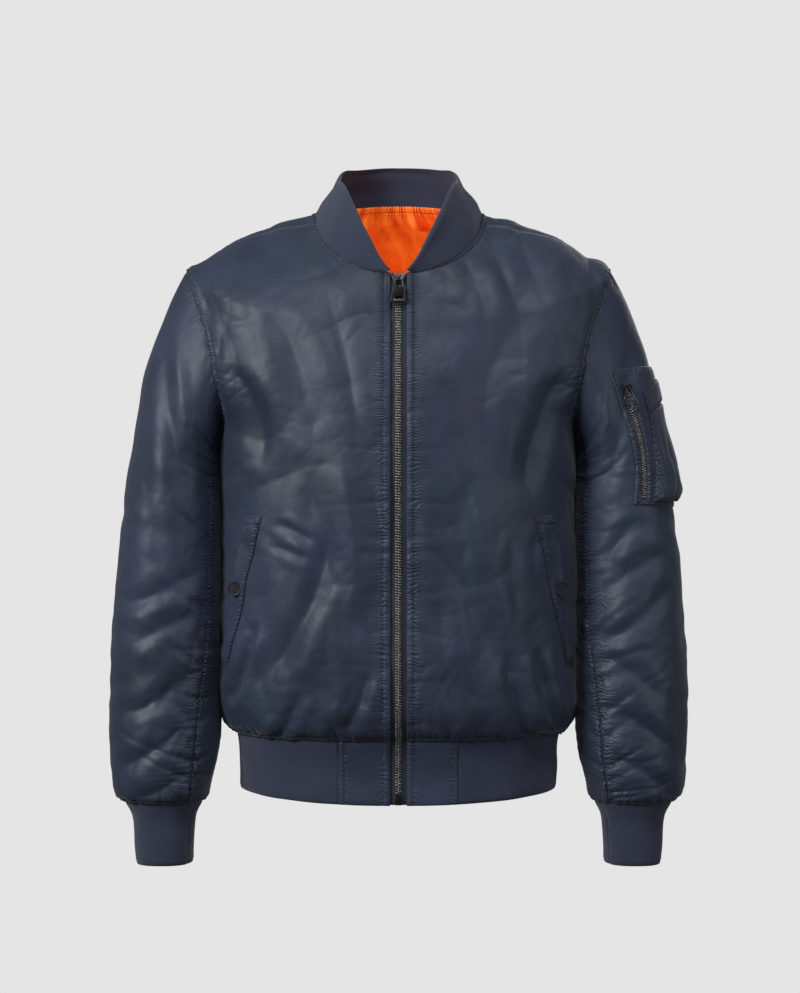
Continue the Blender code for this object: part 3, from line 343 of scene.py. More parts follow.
rightArmCreases = [
    ("front", -262, -130, -238, -310, 4, 10, -6),
    ("front", -246, -130, -226, -270, -3, 9, -4),
    ("front", -285, -260, -262, -400, 3, 14, -4),
    ("front", -225, -405, -300, -440, 4.6, 11, 5),
    ("front", -224, -455, -290, -485, 4, 10, -4),
    ("front", -232, -520, -296, -560, 5.4, 11, 4),
    ("front", -238, -575, -300, -618, 5, 10, 4),
    ("front", -240, -630, -285, -655, 4.4, 8, 3),
    ("outer", -55, -330, 50, -370, 5, 12, 5),
    ("outer", 50, -420, -45, -460, 5.5, 12, 6),
    ("outer", -60, -530, 30, -575, 5, 10, 4),
    ("back", -225, -340, -300, -385, 5.5, 12, 6),
    ("back", -300, -430, -225, -465, 5.8, 12, 5),
    ("back", -228, -510, -305, -555, 5.5, 11, -4),
    ("back", -300, -590, -235, -628, 4.6, 10, 4),
    ("inner", -50, -430, 30, -460, 3, 10, 4),
]
gatherSizes = {
    "hem": 0.0060, "zip": 0.0026, "armhole": 0.0036, "sleeveSeam": 0.0056, "cuff": 0.0054, "neck": 0.0022
}
creaseShare = {"front": 0.66, "outer": 0.16, "back": 0.66, "inner": 0.5}


def torsoHeight(angle, run):
    angle, run = pair(angle, run)
    wrapped = signed(angle)
    points, out = torsoForm(angle, run), torsoOut(angle, run)
    x, z = points[..., 0], points[..., 2]
    around = np.radians(wrapped) * torsoRadius
    aboveRib, belowNeck = run - ribSeam, neckline - run
    front = ease(-points[..., 1] / 0.03)
    awayZip = np.where(points[..., 1] < 0, np.abs(x) - zipSizes["edge"], 1.0)
    hole = np.sqrt(
        (np.minimum(np.abs(np.abs(wrapped) - 90.0), 80) / armholeFront) ** 2
        + (np.clip(run - armholeMiddle, -0.3, 0.3) / armholeHalf) ** 2
    )
    awayHole = (hole - 1.0) * holeRadius
    roundHole = (
        np.arctan2(run - armholeMiddle, (np.abs(wrapped) - 90.0) / armholeFront * armholeHalf) * holeRadius
    )
    awaySide = np.abs(np.abs(wrapped) - sideSeam) * np.pi / 180 * torsoRadius
    low = ease(aboveRib / 0.006)
    held = low * ease(awayHole / 0.02) * ease(belowNeck / 0.03)
    height = (
        creases(torsoCreases, 1, points, out, {"front": 1.5, "back": 1.0}) * held
        * (1 - bump(awayZip, 0.012) * front)
    )
    height += 0.0018 * dapple(x * 1.2, z, 0.15, 3) * held + 0.0009 * dapple(x * 1.2, z * 0.8, 0.055, 4) * held
    height += 0.0036 * crumple(x * 1.3 + z * 0.3, z * 0.7, 0.056, 201) * held
    lower = ease((-0.28 - z) / 0.12)
    height += 0.0024 * crumple(x * 1.1 - z * 0.5, z * 0.6 + x * 0.3, 0.038, 241) * held * lower
    height += 0.0016 * crumple(x + z * 0.3, z * 0.8, 0.025, 211) * held * (
        0.6 + bump(awayHole, 0.05) + bump(aboveRib, 0.06)
    )
    quiet = 1.0 - 0.55 * bump(x, 0.05) * front
    height += (
        gatherSizes["hem"] * gathers(around, aboveRib, 0.0135, 0.020, 11)
        * quiet * (1 - 0.6 * bump(aboveRib, 0.006))
    )
    height += 0.0030 * gathers(around, aboveRib, 0.031, 0.050, 13) * quiet * low
    height += gatherSizes["zip"] * gathers(run, awayZip, 0.0085, 0.012, 17) * front * held
    height += 0.0024 * gathers(run, awayZip, 0.020, 0.026, 19) * front * held * bump(run - 0.30, 0.16)
    height += gatherSizes["armhole"] * gathers(roundHole, awayHole, 0.010, 0.012, 23) * (awayHole > 0)
    height += gatherSizes["neck"] * gathers(around * 0.5, belowNeck, 0.008, 0.012, 29)
    height += 0.0007 * gathers(run, awaySide, 0.012, 0.010, 31) * (run < underarm)
    height += seamRoll(aboveRib, 0.0075) + seamRoll(belowNeck, 0.0075)
    height += np.where(awayHole > -0.01, seamRoll(awayHole, 0.0070), 0.0)
    height += np.where(run < underarm + 0.005, seamRoll(awaySide, 0), 0.0)
    height += 0.0020 * bump(awaySide, 0.05) * ease((run - 0.12) / 0.06) * ease((underarm - run) / 0.03)
    return height + (seamRoll(awayZip, 0.0078) + 0.0009 * bump(awayZip, 0.0012)) * front


def sleeveHeight(side, turn, run):
    turn, run = pair(turn, run)
    wrapped = signed(turn)
    points, out = sleeveForm(turn, run), sleeveOut(turn, run)
    seams = fromRows(sleeveSeams, seamColumns, run)
    awayFront = np.abs(wrapped - seams["front"]) * np.pi / 180 * armRadius
    awayBack = np.abs(signed(wrapped - seams["back"])) * np.pi / 180 * armRadius
    aboveCuff, belowHole = cuffSeam - run, run
    around = np.radians(turn) * armRadius
    table = leftArmCreases if side > 0 else rightArmCreases
    mirrored, facing = points * np.array([side, 1.0, 1.0]), out * np.array([side, 1.0, 1.0])
    inside = 1 - 0.65 * ease((bump(wrapped + 90, 50) - 0.2) / 0.6)
    held = ease((run - 0.012) / 0.05) * ease(aboveCuff / 0.02)
    height = creases(table, side, mirrored, facing, creaseShare) * held * inside
    height += 0.0011 * dapple(around, run, 0.09, 40 + side) * held * inside
    height += 0.0005 * dapple(around, run, 0.035, 43 + side) * held * inside
    lower = 0.45 + 0.55 * ease((run - 0.20) / 0.15)
    rim = 1 - 0.55 * bump(wrapped - 80, 45)
    height += 0.0023 * crumple(around * 0.8, run * 1.1, 0.034, 221 + side) * held * inside * lower * rim
    height += 0.0013 * crumple(around * 0.9, run * 1.3, 0.017, 231 + side) * held * lower * rim
    seamGather = gatherSizes["sleeveSeam"] * lower
    height += seamGather * gathers(run, awayFront, 0.0105, 0.014, 47 + side) * held
    height += (
        seamGather * 1.2 * gathers(run + awayFront * 0.6, awayFront, 0.027, 0.032, 51 + side) * held * inside
    )
    height += seamGather * gathers(run, awayBack, 0.0115, 0.013, 53 + side) * held
    height += (
        gatherSizes["cuff"] * gathers(around, aboveCuff, 0.0105, 0.016, 57 + side)
        * (1 - 0.6 * bump(aboveCuff, 0.005))
    )
    height += 0.0030 * gathers(around, aboveCuff, 0.024, 0.036, 59 + side) * ease(aboveCuff / 0.006)
    height += gatherSizes["armhole"] * gathers(
        np.radians(turn) * holeRadius, belowHole, 0.010, 0.012, 61 + side
    )
    height += seamRoll(awayFront, 0) + seamRoll(awayBack, 0) + seamRoll(aboveCuff, 0.0065)
    full = (
        (0.0084 - 0.0020 * ease((run - 0.08) / 0.08)) * ease((run - 0.004) / 0.035)
        * ease((0.50 - run) / 0.08)
    )
    full = full * bump(wrapped + 90, 48)
    return height + 0.9 * seamRoll(belowHole, 0) + full


def nearestSeam(seams):  # how far along and away from the nearest of several stitched seams
    seams = [np.broadcast_arrays(*seam) for seam in seams]
    away = np.stack([np.abs(seam[1]) for seam in seams])
    along = np.stack([seam[0] for seam in seams])
    nearest = away.argmin(axis=0)[None]
    return np.stack(
        [np.take_along_axis(along, nearest, 0)[0], np.take_along_axis(away, nearest, 0)[0]], axis=-1
    )


def torsoSeams(angle, run):
    angle, run = pair(angle, run)
    wrapped = signed(angle)
    points = torsoForm(angle, run)
    away = np.abs(wrapped) - 90.0
    hole = np.sqrt((away / armholeFront) ** 2 + ((run - armholeMiddle) / armholeHalf) ** 2)
    roundHole = np.arctan2(run - armholeMiddle, away / armholeFront * armholeHalf) * holeRadius
    awayZip = np.where(points[..., 1] < 0, np.abs(points[..., 0]) - zipSizes["topstitch"], 1.0)
    around = np.radians(wrapped) * torsoRadius
    awaySide = np.where(run < underarm, (np.abs(wrapped) - sideSeam) * np.pi / 180 * torsoRadius, 1.0)
    return nearestSeam([
        (run, awayZip * 1.4), (
            around, np.maximum(run - ribSeam - 0.0075, (ribSeam - run) * 0.3)
        ), (roundHole, ((hole - 1) * holeRadius - 0.004) * 1.6),
        (around * 0.6, (neckline - 0.0055 - run) * 1.4), (run + 0.4, awaySide * 2.0),
    ])


def sleeveSeamsNear(turn, run):
    turn, run = pair(turn, run)
    wrapped = signed(turn)
    seams = fromRows(sleeveSeams, seamColumns, run)
    awayBack = signed(wrapped - seams["back"])
    weak = 1.0 + 1.5 * (1 - ease((run - 0.12) / 0.12))
    return nearestSeam([
        (
            run, (wrapped - seams["front"]) * np.pi / 180 * armRadius * weak * 0.75
        ), (run + 0.2, awayBack * np.pi / 180 * armRadius * weak * 0.75),
        (
            np.radians(turn) * armRadius, (cuffSeam - 0.005 - run) * 0.8
        ), (np.radians(turn) * holeRadius, run * 1.6),
    ])


def torsoCloth(angle, run, lift=0.0, height=None):
    angle, run = pair(angle, run)
    if height is None:
        height = torsoHeight(angle, run)
    return torsoForm(angle, run) + torsoOut(angle, run) * (height + lift)[..., None]


def sleeveCloth(side, turn, run, lift=0.0, height=None):
    turn, run = pair(turn, run)
    if height is None:
        height = sleeveHeight(side, turn, run)
    return (
        (sleeveForm(turn, run) + sleeveOut(turn, run) * (height + lift)[..., None]) * np.array([side, 1, 1])
    )


def bodyFaces(angle, run, height, wall=cloth["shell"]):
    return torsoCloth(angle, run, 0, height), torsoCloth(angle, run, -wall, height)


def armUv(turn, run):
    return np.stack([np.radians(turn) * armRadius, run], axis=-1)


# Shells: a grid of cloth and its inner face, closed round the edges

def gridQuads(rows, columns, first=0):
    corner = first + np.arange(rows - 1)[:, None] * columns + np.arange(columns - 1)[None, :]
    return np.stack([corner, corner + 1, corner + columns + 1, corner + columns], axis=-1).reshape(-1, 4)


def shell(name, outer, inner, quads, uv, materials, innerMaterial=0, seamUv=None):
    a, b, c = outer[quads[:, 0]], outer[quads[:, 1]], outer[quads[:, 2]]
    way = (np.cross(b - a, c - a) * (outer - inner)[quads[:, 0]]).sum()
    if way < 0:
        quads = quads[:, ::-1]
    edges = np.concatenate([quads[:, [k, (k + 1) % 4]] for k in range(4)])
    key = np.sort(edges, axis=1)
    _, firstSeen, count = np.unique(key, axis=0, return_index=True, return_counts=True)
    rim = edges[firstSeen[count == 1]]
    total = len(outer)
    walls = np.stack([rim[:, 1], rim[:, 0], rim[:, 0] + total, rim[:, 1] + total], axis=-1)
    faces = np.concatenate([quads, quads[:, ::-1] + total, walls])
    used = np.unique(faces)
    renumber = np.zeros(2 * total, int)
    renumber[used] = np.arange(len(used))
    points, spots = np.concatenate([outer, inner])[used], np.concatenate([uv, uv])[used]
    faces = renumber[faces]
    mesh = bpy.data.meshes.new(name)
    mesh.vertices.add(len(points))
    mesh.vertices.foreach_set("co", points.astype(np.float32).ravel())
    mesh.loops.add(faces.size)
    mesh.loops.foreach_set("vertex_index", faces.astype(np.int32).ravel())
    mesh.polygons.add(len(faces))
    mesh.polygons.foreach_set("loop_start", np.arange(0, faces.size, 4, dtype=np.int32))
    index = np.zeros(len(faces), np.int32)
    index[len(quads) : 2 * len(quads)] = innerMaterial
    mesh.polygons.foreach_set("material_index", index)
    layer = mesh.uv_layers.new(name="clothUV")
    layer.data.foreach_set("uv", spots[faces.ravel()].astype(np.float32).ravel())
    if seamUv is not None:
        second = mesh.uv_layers.new(name="seamUV")
        spots = np.concatenate([seamUv, seamUv])[used]
        second.data.foreach_set("uv", spots[faces.ravel()].astype(np.float32).ravel())
        layer.active = layer.active_render = True
    mesh.update(calc_edges=True)
    mesh.validate()
    mesh.shade_smooth()
    for material in materials:
        mesh.materials.append(material)
    return addObject(name, mesh)


def gridShell(name, outer, inner, uv, materials, innerMaterial=0, seamUv=None):
    rows, columns = outer.shape[:2]
    quads = gridQuads(rows, columns)
    spots = None if seamUv is None else seamUv.reshape(-1, 2)
    return shell(
        name,
        outer.reshape(-1, 3),
        inner.reshape(-1, 3),
        quads,
        uv.reshape(-1, 2),
        materials,
        innerMaterial,
        spots,
    )


def dense(count, low=0.0, high=0.0):  # 0 to 1, closer together towards either end
    t = np.linspace(0.0, 1.0, count)
    both = t - min(low, high) * np.sin(2 * np.pi * t) / (2 * np.pi)
    if low > high:
        both = both ** (1 + (low - high))
    elif high > low:
        both = 1 - (1 - both) ** (1 + (high - low))
    return both


def halfBody(front, rows, columns):
    gap = cloth["gap"]
    neckAt, underAt = 0.85, 0.50
    v = dense(rows, 0.35, 0.1)
    first = ribSeam + gap
    rise = first + (neckline - gap - first) * np.clip(v / neckAt, 0, 1)
    middle = angleAt(zipSizes["edge"], rise) if front > 0 else np.full_like(rise, 180.0)
    neckStart = float(angleAt(zipSizes["edge"], neckline)) if front > 0 else 180.0
    neck = neckStart + (shoulderAtNeck - neckStart) * np.clip((v - neckAt) / (1 - neckAt), 0, 1)
    left = np.stack([np.where(v < neckAt, middle, neck), rise], axis=-1)
    low = first + (underarm - first) * np.clip(v / underAt, 0, 1)
    side = sideSeam + (90.0 - sideSeam) * ease((low - underarm + 0.06) / 0.06)
    turn = -90.0 + 180.0 * np.clip((v - underAt) / (1 - underAt), 0, 1)
    holeAngle, holeRun = armhole(turn if front > 0 else 180.0 - turn)
    right = np.stack([np.where(v < underAt, side, holeAngle), np.where(v < underAt, low, holeRun)], axis=-1)
    u = dense(columns, 0.55, 0.35)
    topRun = neckline - gap + (shoulder - neckline + gap) * u
    seam = 90.0 - (90.0 - shoulderAtNeck) * ease((topRun - shoulder) / (neckline - shoulder))
    straight = np.stack([left[-1, 0] + (right[-1, 0] - left[-1, 0]) * u, topRun], axis=-1)
    top = np.stack([seam, topRun], axis=-1) - straight
    grid = left[:, None] * (1 - u[None, :, None]) + right[:, None] * u[None, :, None]
    return grid + top[None] * (ease((v - 0.80) / 0.2) * v)[:, None, None]


def bodyUv(angle, run):
    return np.stack([np.radians(angle) * torsoRadius, run], axis=-1)


def evenAngles(run, start, end, count):  # evenly spaced along the cloth
    fine = np.linspace(start, end, 1500)
    step = np.linalg.norm(np.diff(torsoForm(fine, np.full_like(fine, run)), axis=0), axis=1)
    length = np.concatenate([[0.0], np.cumsum(step)])
    return np.interp(np.linspace(0, length[-1], count), length, fine), length[-1]


# Materials

class Wire:  # a shader value that adds, subtracts, multiplies and divides
    def __init__(self, nodes, socket):
        self.nodes, self.socket = nodes, socket

    def maths(self, kind, *others):
        return self.nodes.add("ShaderNodeMath", {"operation": kind}, dict(enumerate((self, *others))))

    def __add__(self, other):
        return self.maths("ADD", other)

    def __radd__(self, other):
        return self.maths("ADD", other)

    def __sub__(self, other):
        return self.maths("SUBTRACT", other)

    def __rsub__(self, other):
        return (self * -1.0).maths("ADD", other)

    def __mul__(self, other):
        return self.maths("MULTIPLY", other)

    def __rmul__(self, other):
        return self.maths("MULTIPLY", other)

    def __truediv__(self, other):
        return self.maths("DIVIDE", other)

    def __rtruediv__(self, other):
        return self.maths("POWER", -1.0) * other


class Nodes:  # a node tree in which every node comes from one method
    def __init__(self, tree):
        self.tree = tree

    def add(self, kind, settings=None, inputs=None, output=0):
        node = self.tree.nodes.new(kind)
        for key, value in (settings or {}).items():
            setattr(node, key, value)
        for key, value in (inputs or {}).items():
            if isinstance(value, Wire):
                self.tree.links.new(value.socket, node.inputs[key])
            else:
                node.inputs[key].default_value = value
        return Wire(self, node.outputs[output]) if node.outputs else node


def blankMaterial(name, shaderValues):
    material = bpy.data.materials.new(name)
    material.use_nodes = True
    material.node_tree.nodes.clear()
    nodes = Nodes(material.node_tree)
    shader = material.node_tree.nodes.new("ShaderNodeBsdfPrincipled")
    for key, value in shaderValues.items():
        shader.inputs[key].default_value = value
    out = material.node_tree.nodes.new("ShaderNodeOutputMaterial")
    material.node_tree.links.new(shader.outputs[0], out.inputs[0])
    return material, nodes, shader


def feed(nodes, shader, name, wire):
    nodes.tree.links.new(wire.socket, shader.inputs[name])


def surface(nodes, shader, colour, rough, height=None):
    feed(nodes, shader, "Base Color", colour)
    feed(nodes, shader, "Roughness", rough)
    if height is not None:
        feed(nodes, shader, "Normal", bumped(nodes, height))


def noise(nodes, where, scale, detail=2.0, rough=0.5):
    return nodes.add(
        "ShaderNodeTexNoise", {}, {"Vector": where, "Scale": scale, "Detail": detail, "Roughness": rough}
    )


def mixColour(nodes, share, first, second):
    first, second = (colour if isinstance(colour, Wire) else (*colour, 1.0) for colour in (first, second))
    return nodes.add("ShaderNodeMix", {"data_type": "RGBA"}, {0: share, 6: first, 7: second}, 2)


def bumped(nodes, height, strength=1.0):
    return nodes.add("ShaderNodeBump", {}, {"Strength": strength, "Distance": 1.0, "Height": height})


def clothCoordinates(nodes):
    uv = nodes.add("ShaderNodeUVMap", {"uv_map": "clothUV"})
    return nodes.add(
        "ShaderNodeSeparateXYZ", {}, {0: uv}, 0
    ), nodes.add("ShaderNodeSeparateXYZ", {}, {0: uv}, 1)


# dark is the navy's own colour; light and teal are the paler painted sheen colours it is mixed towards
nylon = {
    "dark": (0.0160, 0.0240, 0.0440),
    "light": (0.0320, 0.0400, 0.0790),
    "teal": (0.0225, 0.0365, 0.0620),
    "roughness": 0.50,
    "wrinkle": 0.0028,
    "fine": 0.00070,
    "weave": 0.000010,
    "pucker": 0.00105,
    "puckerPitch": 0.0046,
    "puckerReach": 0.0070,
}


# puckers and a stitch line follow seamUV: along the nearest seam, and away from it
def makeNylon(name, look):
    values = {"Specular IOR Level": 0.34, "Sheen Weight": 0.10, "Sheen Roughness": 0.4}
    material, nodes, shader = blankMaterial(name, values)
    where = nodes.add("ShaderNodeTexCoord", output="Object")
    broad, mid, small = noise(nodes, where, 9.0), noise(
        nodes, where, 26.0, 2.0
    ), noise(nodes, where, 95.0, 2.0)
    u, v = clothCoordinates(nodes)
    weave = (u * 6283.0).maths("SINE") * (v * 6283.0).maths("SINE")
    ridged, rippled = (mid - 0.5).maths("ABSOLUTE"), (small - 0.5).maths("ABSOLUTE")
    height = ridged * look["wrinkle"] * broad + rippled * look["fine"] * broad + weave * look["weave"]
    spot = nodes.add("ShaderNodeUVMap", {"uv_map": "seamUV"})
    length = nodes.add("ShaderNodeSeparateXYZ", {}, {0: spot}, 0)
    away = nodes.add("ShaderNodeSeparateXYZ", {}, {0: spot}, 1)
    sway = noise(nodes, where, 55.0, 2.0)
    uneven = noise(nodes, where, 38.0, 1.0)
    phase = length * (math.pi / look["puckerPitch"]) + sway * 14.0
    ridge = (phase.maths("SINE").maths("ABSOLUTE") + 0.02).maths("POWER", 0.6)
    fade = (away / (uneven * (-2.0 * look["puckerReach"]))).maths("EXPONENT")
    height += ridge * fade * (uneven * (2.0 * look["pucker"]))
    line = (away * away * (-1.0 / 0.0011**2)).maths("EXPONENT")
    dots = (length * (2 * math.pi / 0.0026)).maths("SINE") * 0.5 + 0.5
    height = height - line * 0.00035
    tint = noise(nodes, where, 5.0, 1.0)
    share = nodes.add("ShaderNodeClamp", {}, {0: (tint - 0.35) * 3.2})
    # painted sheen: the colour goes from the dark navy towards paler blue and teal in broad random patches,
    # standing in for satin highlights
    paintedSheen = nodes.add(
        "ShaderNodeClamp", {}, {0: (broad - 0.5) * 2.2 + (mid - 0.5) * 0.8 + small * 0.3 + 0.35}
    )
    pale = mixColour(nodes, share, look["light"], look["teal"])
    mixed = mixColour(nodes, paintedSheen, look["dark"], pale)
    shadow = tuple(0.35 * part for part in look["dark"])
    mixed = mixColour(nodes, line * (dots * 0.5 + 0.3), mixed, shadow)
    surface(nodes, shader, mixed, broad * 0.20 + small * 0.10 + (look["roughness"] - 0.15), height)
    return material


knit = {
    "valley": (0.0140, 0.0200, 0.0430),
    "litRibCrest": (0.0310, 0.0420, 0.0850),
    "roughness": 0.90,
    "stitch": 0.00010,
}


def makeKnit(name, look):  # U counts ribs, V runs along them in metres
    values = {"Specular IOR Level": 0.22, "Sheen Weight": 0.16, "Sheen Roughness": 0.6}
    material, nodes, shader = blankMaterial(name, values)
    where = nodes.add("ShaderNodeTexCoord", output="Object")
    u, v = clothCoordinates(nodes)
    litRibCrest = (u * (2 * math.pi)).maths("COSINE") * 0.5 + 0.5
    side = (u.maths("FRACT") - 0.5).maths("ABSOLUTE")
    loops = ((v / 0.0017 + side * 1.4) * (2 * math.pi)).maths("SINE")
    twill = ((v / 0.0026 + u * 0.5) * (2 * math.pi)).maths("SINE")
    fuzz = noise(nodes, where, 900.0, 2.0)
    blotch = noise(nodes, where, 25.0, 2.0)
    # partly painted shade and light: darker in the rib valleys and lighter on the rib crests, mixed with the
    # knit's own stitch pattern and random tone
    share = litRibCrest * 0.20 + twill * 0.13 + loops * 0.08 + 0.32 + (blotch - 0.5) * 0.5 + (fuzz - 0.5) * 0.35
    clamped = nodes.add("ShaderNodeClamp", {}, {0: share})
    surface(
        nodes,
        shader,
        mixColour(nodes, clamped, look["valley"], look["litRibCrest"]),
        fuzz * 0.15 + (look["roughness"] - 0.1),
        (loops + twill) * look["stitch"] + fuzz * 0.00014,
    )
    return material


# deep and bright are the painted shaded and lit ends of the orange lining
satin = {
    "deep": (0.66, 0.048, 0.0020),
    "bright": (1.0, 0.235, 0.0240),
    "paintedGlow": 0.32,
    "roughness": 0.34,
    "strip": 0.0075,
    "pitch": 0.0036,
}


def makeSatin(name, look):  # V 0 is the top of the strip at the neck
    values = {"Specular IOR Level": 0.5, "Sheen Weight": 0.15, "Sheen Roughness": 0.3}
    material, nodes, shader = blankMaterial(name, values)
    where = nodes.add("ShaderNodeTexCoord", output="Object")
    u, v = clothCoordinates(nodes)
    stretched = nodes.add("ShaderNodeCombineXYZ", {}, {0: u * 75.0 + v * 12.0, 1: v * 14.0})
    foldBumpAndShade, small = noise(nodes, stretched, 1.0, 2.0), noise(nodes, where, 210.0)
    sway = noise(nodes, where, 60.0)
    onStrip = nodes.add(
        "ShaderNodeMapRange", {}, {0: v, 1: look["strip"] - 0.0015, 2: look["strip"] + 0.0015, 3: 1.0, 4: 0.0}
    )
    ridge = (u * (math.pi / look["pitch"]) + sway * 9.0).maths("SINE").maths("ABSOLUTE")
    below = ((v - look["strip"]).maths("MAXIMUM", 0.0) * (-1.0 / 0.007)).maths("EXPONENT")
    stitched = (v - look["strip"]) * (1.0 / 0.0009)
    line = (stitched * stitched * -1.0).maths("EXPONENT")
    # painted shade: darker in the fold, pucker and stitch-line valleys that the bump also draws, lighter on
    # their tops
    share = (foldBumpAndShade - 0.5) * 3.4 + 0.52 + (ridge - 0.6) * below * 0.8 - line * 0.8 + (small - 0.5) * 0.3
    colour = mixColour(nodes, nodes.add("ShaderNodeClamp", {}, {0: share}), look["deep"], look["bright"])
    feed(nodes, shader, "Base Color", colour)
    # painted light: the lining glows with its own colour, as if brightly lit
    feed(nodes, shader, "Emission Color", colour)
    shader.inputs["Emission Strength"].default_value = look["paintedGlow"]
    feed(nodes, shader, "Roughness", small * 0.10 + (look["roughness"] - 0.05))
    height = foldBumpAndShade * 0.0075 + ridge * below * 0.0011 - line * 0.0008 + onStrip * 0.0003 + small * 0.00010
    feed(nodes, shader, "Normal", bumped(nodes, height))
    return material


def makeTape(name):
    material, nodes, shader = blankMaterial(name, {"Specular IOR Level": 0.3, "Sheen Weight": 0.2})
    where = nodes.add("ShaderNodeTexCoord", output="Object")
    u, v = clothCoordinates(nodes)
    twill = (((u + v) * 9000.0).maths("SINE")) * 0.5 + 0.5
    blotch = noise(nodes, where, 120.0)
    share = twill * 0.5 + blotch * 0.5
    surface(
        nodes,
        shader,
        mixColour(nodes, share, (0.012, 0.016, 0.028), (0.026, 0.033, 0.055)),
        blotch * 0.2 + 0.6,
        twill * 0.00008,
    )
    return material


gunmetal = {"dull": (0.020, 0.020, 0.022), "bright": (0.065, 0.064, 0.064), "roughness": 0.34}


def makeMetal(name, look):
    material, nodes, shader = blankMaterial(name, {"Metallic": 1.0})
    where = nodes.add("ShaderNodeTexCoord", output="Object")
    patch, grain = noise(nodes, where, 320.0, 3.0), noise(nodes, where, 1500.0, 2.0)
    surface(
        nodes,
        shader,
        mixColour(nodes, patch, look["dull"], look["bright"]),
        patch * 0.2 + grain * 0.1 + (look["roughness"] - 0.12),
        grain * 0.00003,
    )
    return material


def makeThread(name, colour):
    material, nodes, shader = blankMaterial(name, {"Specular IOR Level": 0.4, "Sheen Weight": 0.2})
    where = nodes.add("ShaderNodeTexCoord", output="Object")
    twist = noise(nodes, where, 1400.0)
    darker = tuple(0.6 * part for part in colour)
    surface(nodes, shader, mixColour(nodes, twist, darker, colour), twist * 0.2 + 0.45)
    return material


seamedCloth = makeNylon("shell nylon by its seams", nylon)
ribCloth = makeKnit("rib knit", knit)
liningCloth = makeSatin("orange lining", satin)
tapeCloth = makeTape("zip tape")
metal = makeMetal("gunmetal", gunmetal)
snapMetal = makeMetal(
    "snap metal", {"dull": (0.020, 0.020, 0.023), "bright": (0.045, 0.045, 0.050), "roughness": 0.46}
)
toothMetal = makeMetal(
    "tooth metal", {"dull": (0.10, 0.097, 0.088), "bright": (0.34, 0.33, 0.30), "roughness": 0.28}
)
navyThread = makeThread("navy thread", (0.0055, 0.0070, 0.0125))
orangeThread = makeThread("orange thread", (0.60, 0.060, 0.006))
print("materials made")


# Body panels

def panel(name, side, rows, columns):
    grid = halfBody(1, rows, columns)
    angle, run = grid[..., 0] * side, grid[..., 1]
    height = torsoHeight(angle, run)
    outer, inner = bodyFaces(angle, run, height)
    quads = gridQuads(rows, columns)
    middle = np.abs(outer.reshape(-1, 3)[quads, 0]).mean(axis=1)
    byHole = torsoSeams(angle, run)[..., 1].reshape(-1)[quads].mean(axis=1) < 0.012
    column = np.broadcast_to(np.arange(columns - 1)[None, :], (rows - 1, columns - 1)).ravel()
    row = np.broadcast_to(np.arange(rows - 1)[:, None], (rows - 1, columns - 1)).ravel()
    facing = np.where(((column < 16) & (row < rows * 0.8)) | (byHole & (middle > 0.15)), 0, 1)
    return shell(
        name, outer.reshape(-1, 3), inner.reshape(-1, 3), quads, bodyUv(angle, run).reshape(-1, 2),
        [seamedCloth, liningCloth], facing, torsoSeams(angle, run).reshape(-1, 2),
    )


def backPanel(name, rows, columns):  # two halves that share the line down the middle of the back
    grid = halfBody(-1, rows, columns)
    skins = []
    for side in (1, -1):
        angle, run = grid[..., 0] * side, grid[..., 1]
        height = torsoHeight(angle, run)
        spots = bodyUv(np.where(side > 0, angle, angle + 360.0), run)
        skins.append((*bodyFaces(angle, run, height), spots, torsoSeams(angle, run)))
    count = rows * columns
    outer, inner, uv, seamUv = (
        np.concatenate([skins[0][k].reshape(count, -1), skins[1][k].reshape(count, -1)]) for k in range(4)
    )
    second = gridQuads(rows, columns, count)[:, ::-1]
    quads = np.concatenate([gridQuads(rows, columns), second])
    shared = np.arange(2 * count)
    for row in range(rows):
        if abs(grid[row, 0, 0] - 180.0) < 1e-6:
            shared[count + row * columns] = row * columns
    byHole = (seamUv[:, 1][quads].mean(axis=1) < 0.012) & (np.abs(outer[quads, 0]).mean(axis=1) > 0.15)
    return shell(
        name, outer, inner, shared[quads], uv, [seamedCloth, liningCloth], np.where(byHole, 0, 1), seamUv
    )


finish = {}
for label, side in sides:
    finish[f"front_{label}"] = panel(f"front_{label}.cloth", side, 301, 97)
finish["back"] = backPanel("back.cloth", 251, 73)
print("body panels made")


# Sleeves

def sleeveGrid(part, rows, columns):
    v = dense(rows, 0.45, 0.45)
    run = (cuffSeam - cloth["gap"]) * v[:, None] + np.zeros((1, columns))
    seams = fromRows(sleeveSeams, seamColumns, run)
    u = dense(columns, 0.45, 0.45)[None, :]
    if part == "top":
        turn = seams["front"] * (1 - u) + (seams["back"] + 360.0) * u
    else:
        turn = seams["back"] * (1 - u) + seams["front"] * u
    return turn, run


def sleevePiece(name, side, part, rows, columns):
    turn, run = sleeveGrid(part, rows, columns)
    height = sleeveHeight(side, turn, run)
    outer, inner = sleeveCloth(side, turn, run, 0, height), sleeveCloth(
        side, turn, run, -cloth["shell"], height
    )
    uv = armUv(turn, run)
    column = np.arange(columns - 1)[None, :] + 0 * run[:-1, :-1]
    bySeam = (column < columns * 0.12) | (column > columns * 0.88)
    facing = np.where((run[:-1, :-1] < 0.04) | (run[:-1, :-1] > 0.50) | bySeam, 0, 1).ravel()
    return gridShell(name, outer, inner, uv, [seamedCloth, liningCloth], facing, sleeveSeamsNear(turn, run))


for label, side in sides:
    finish[f"sleeve_{label}_top"] = sleevePiece(f"sleeve_{label}_top.cloth", side, "top", 241, 97)
    finish[f"sleeve_{label}_under"] = sleevePiece(f"sleeve_{label}_under.cloth", side, "under", 181, 37)
print("sleeves made")


# Rib knit: every rib is part of the surface

rib = {"pitch": 0.0024, "depth": 0.00007, "samples": 2}


def ribCount(length):
    return max(int(round(length / rib["pitch"])), 2)


def roundEdge(away, size=0.0016, deep=0.0010):
    return -deep * bump(np.maximum(away, 0), size)


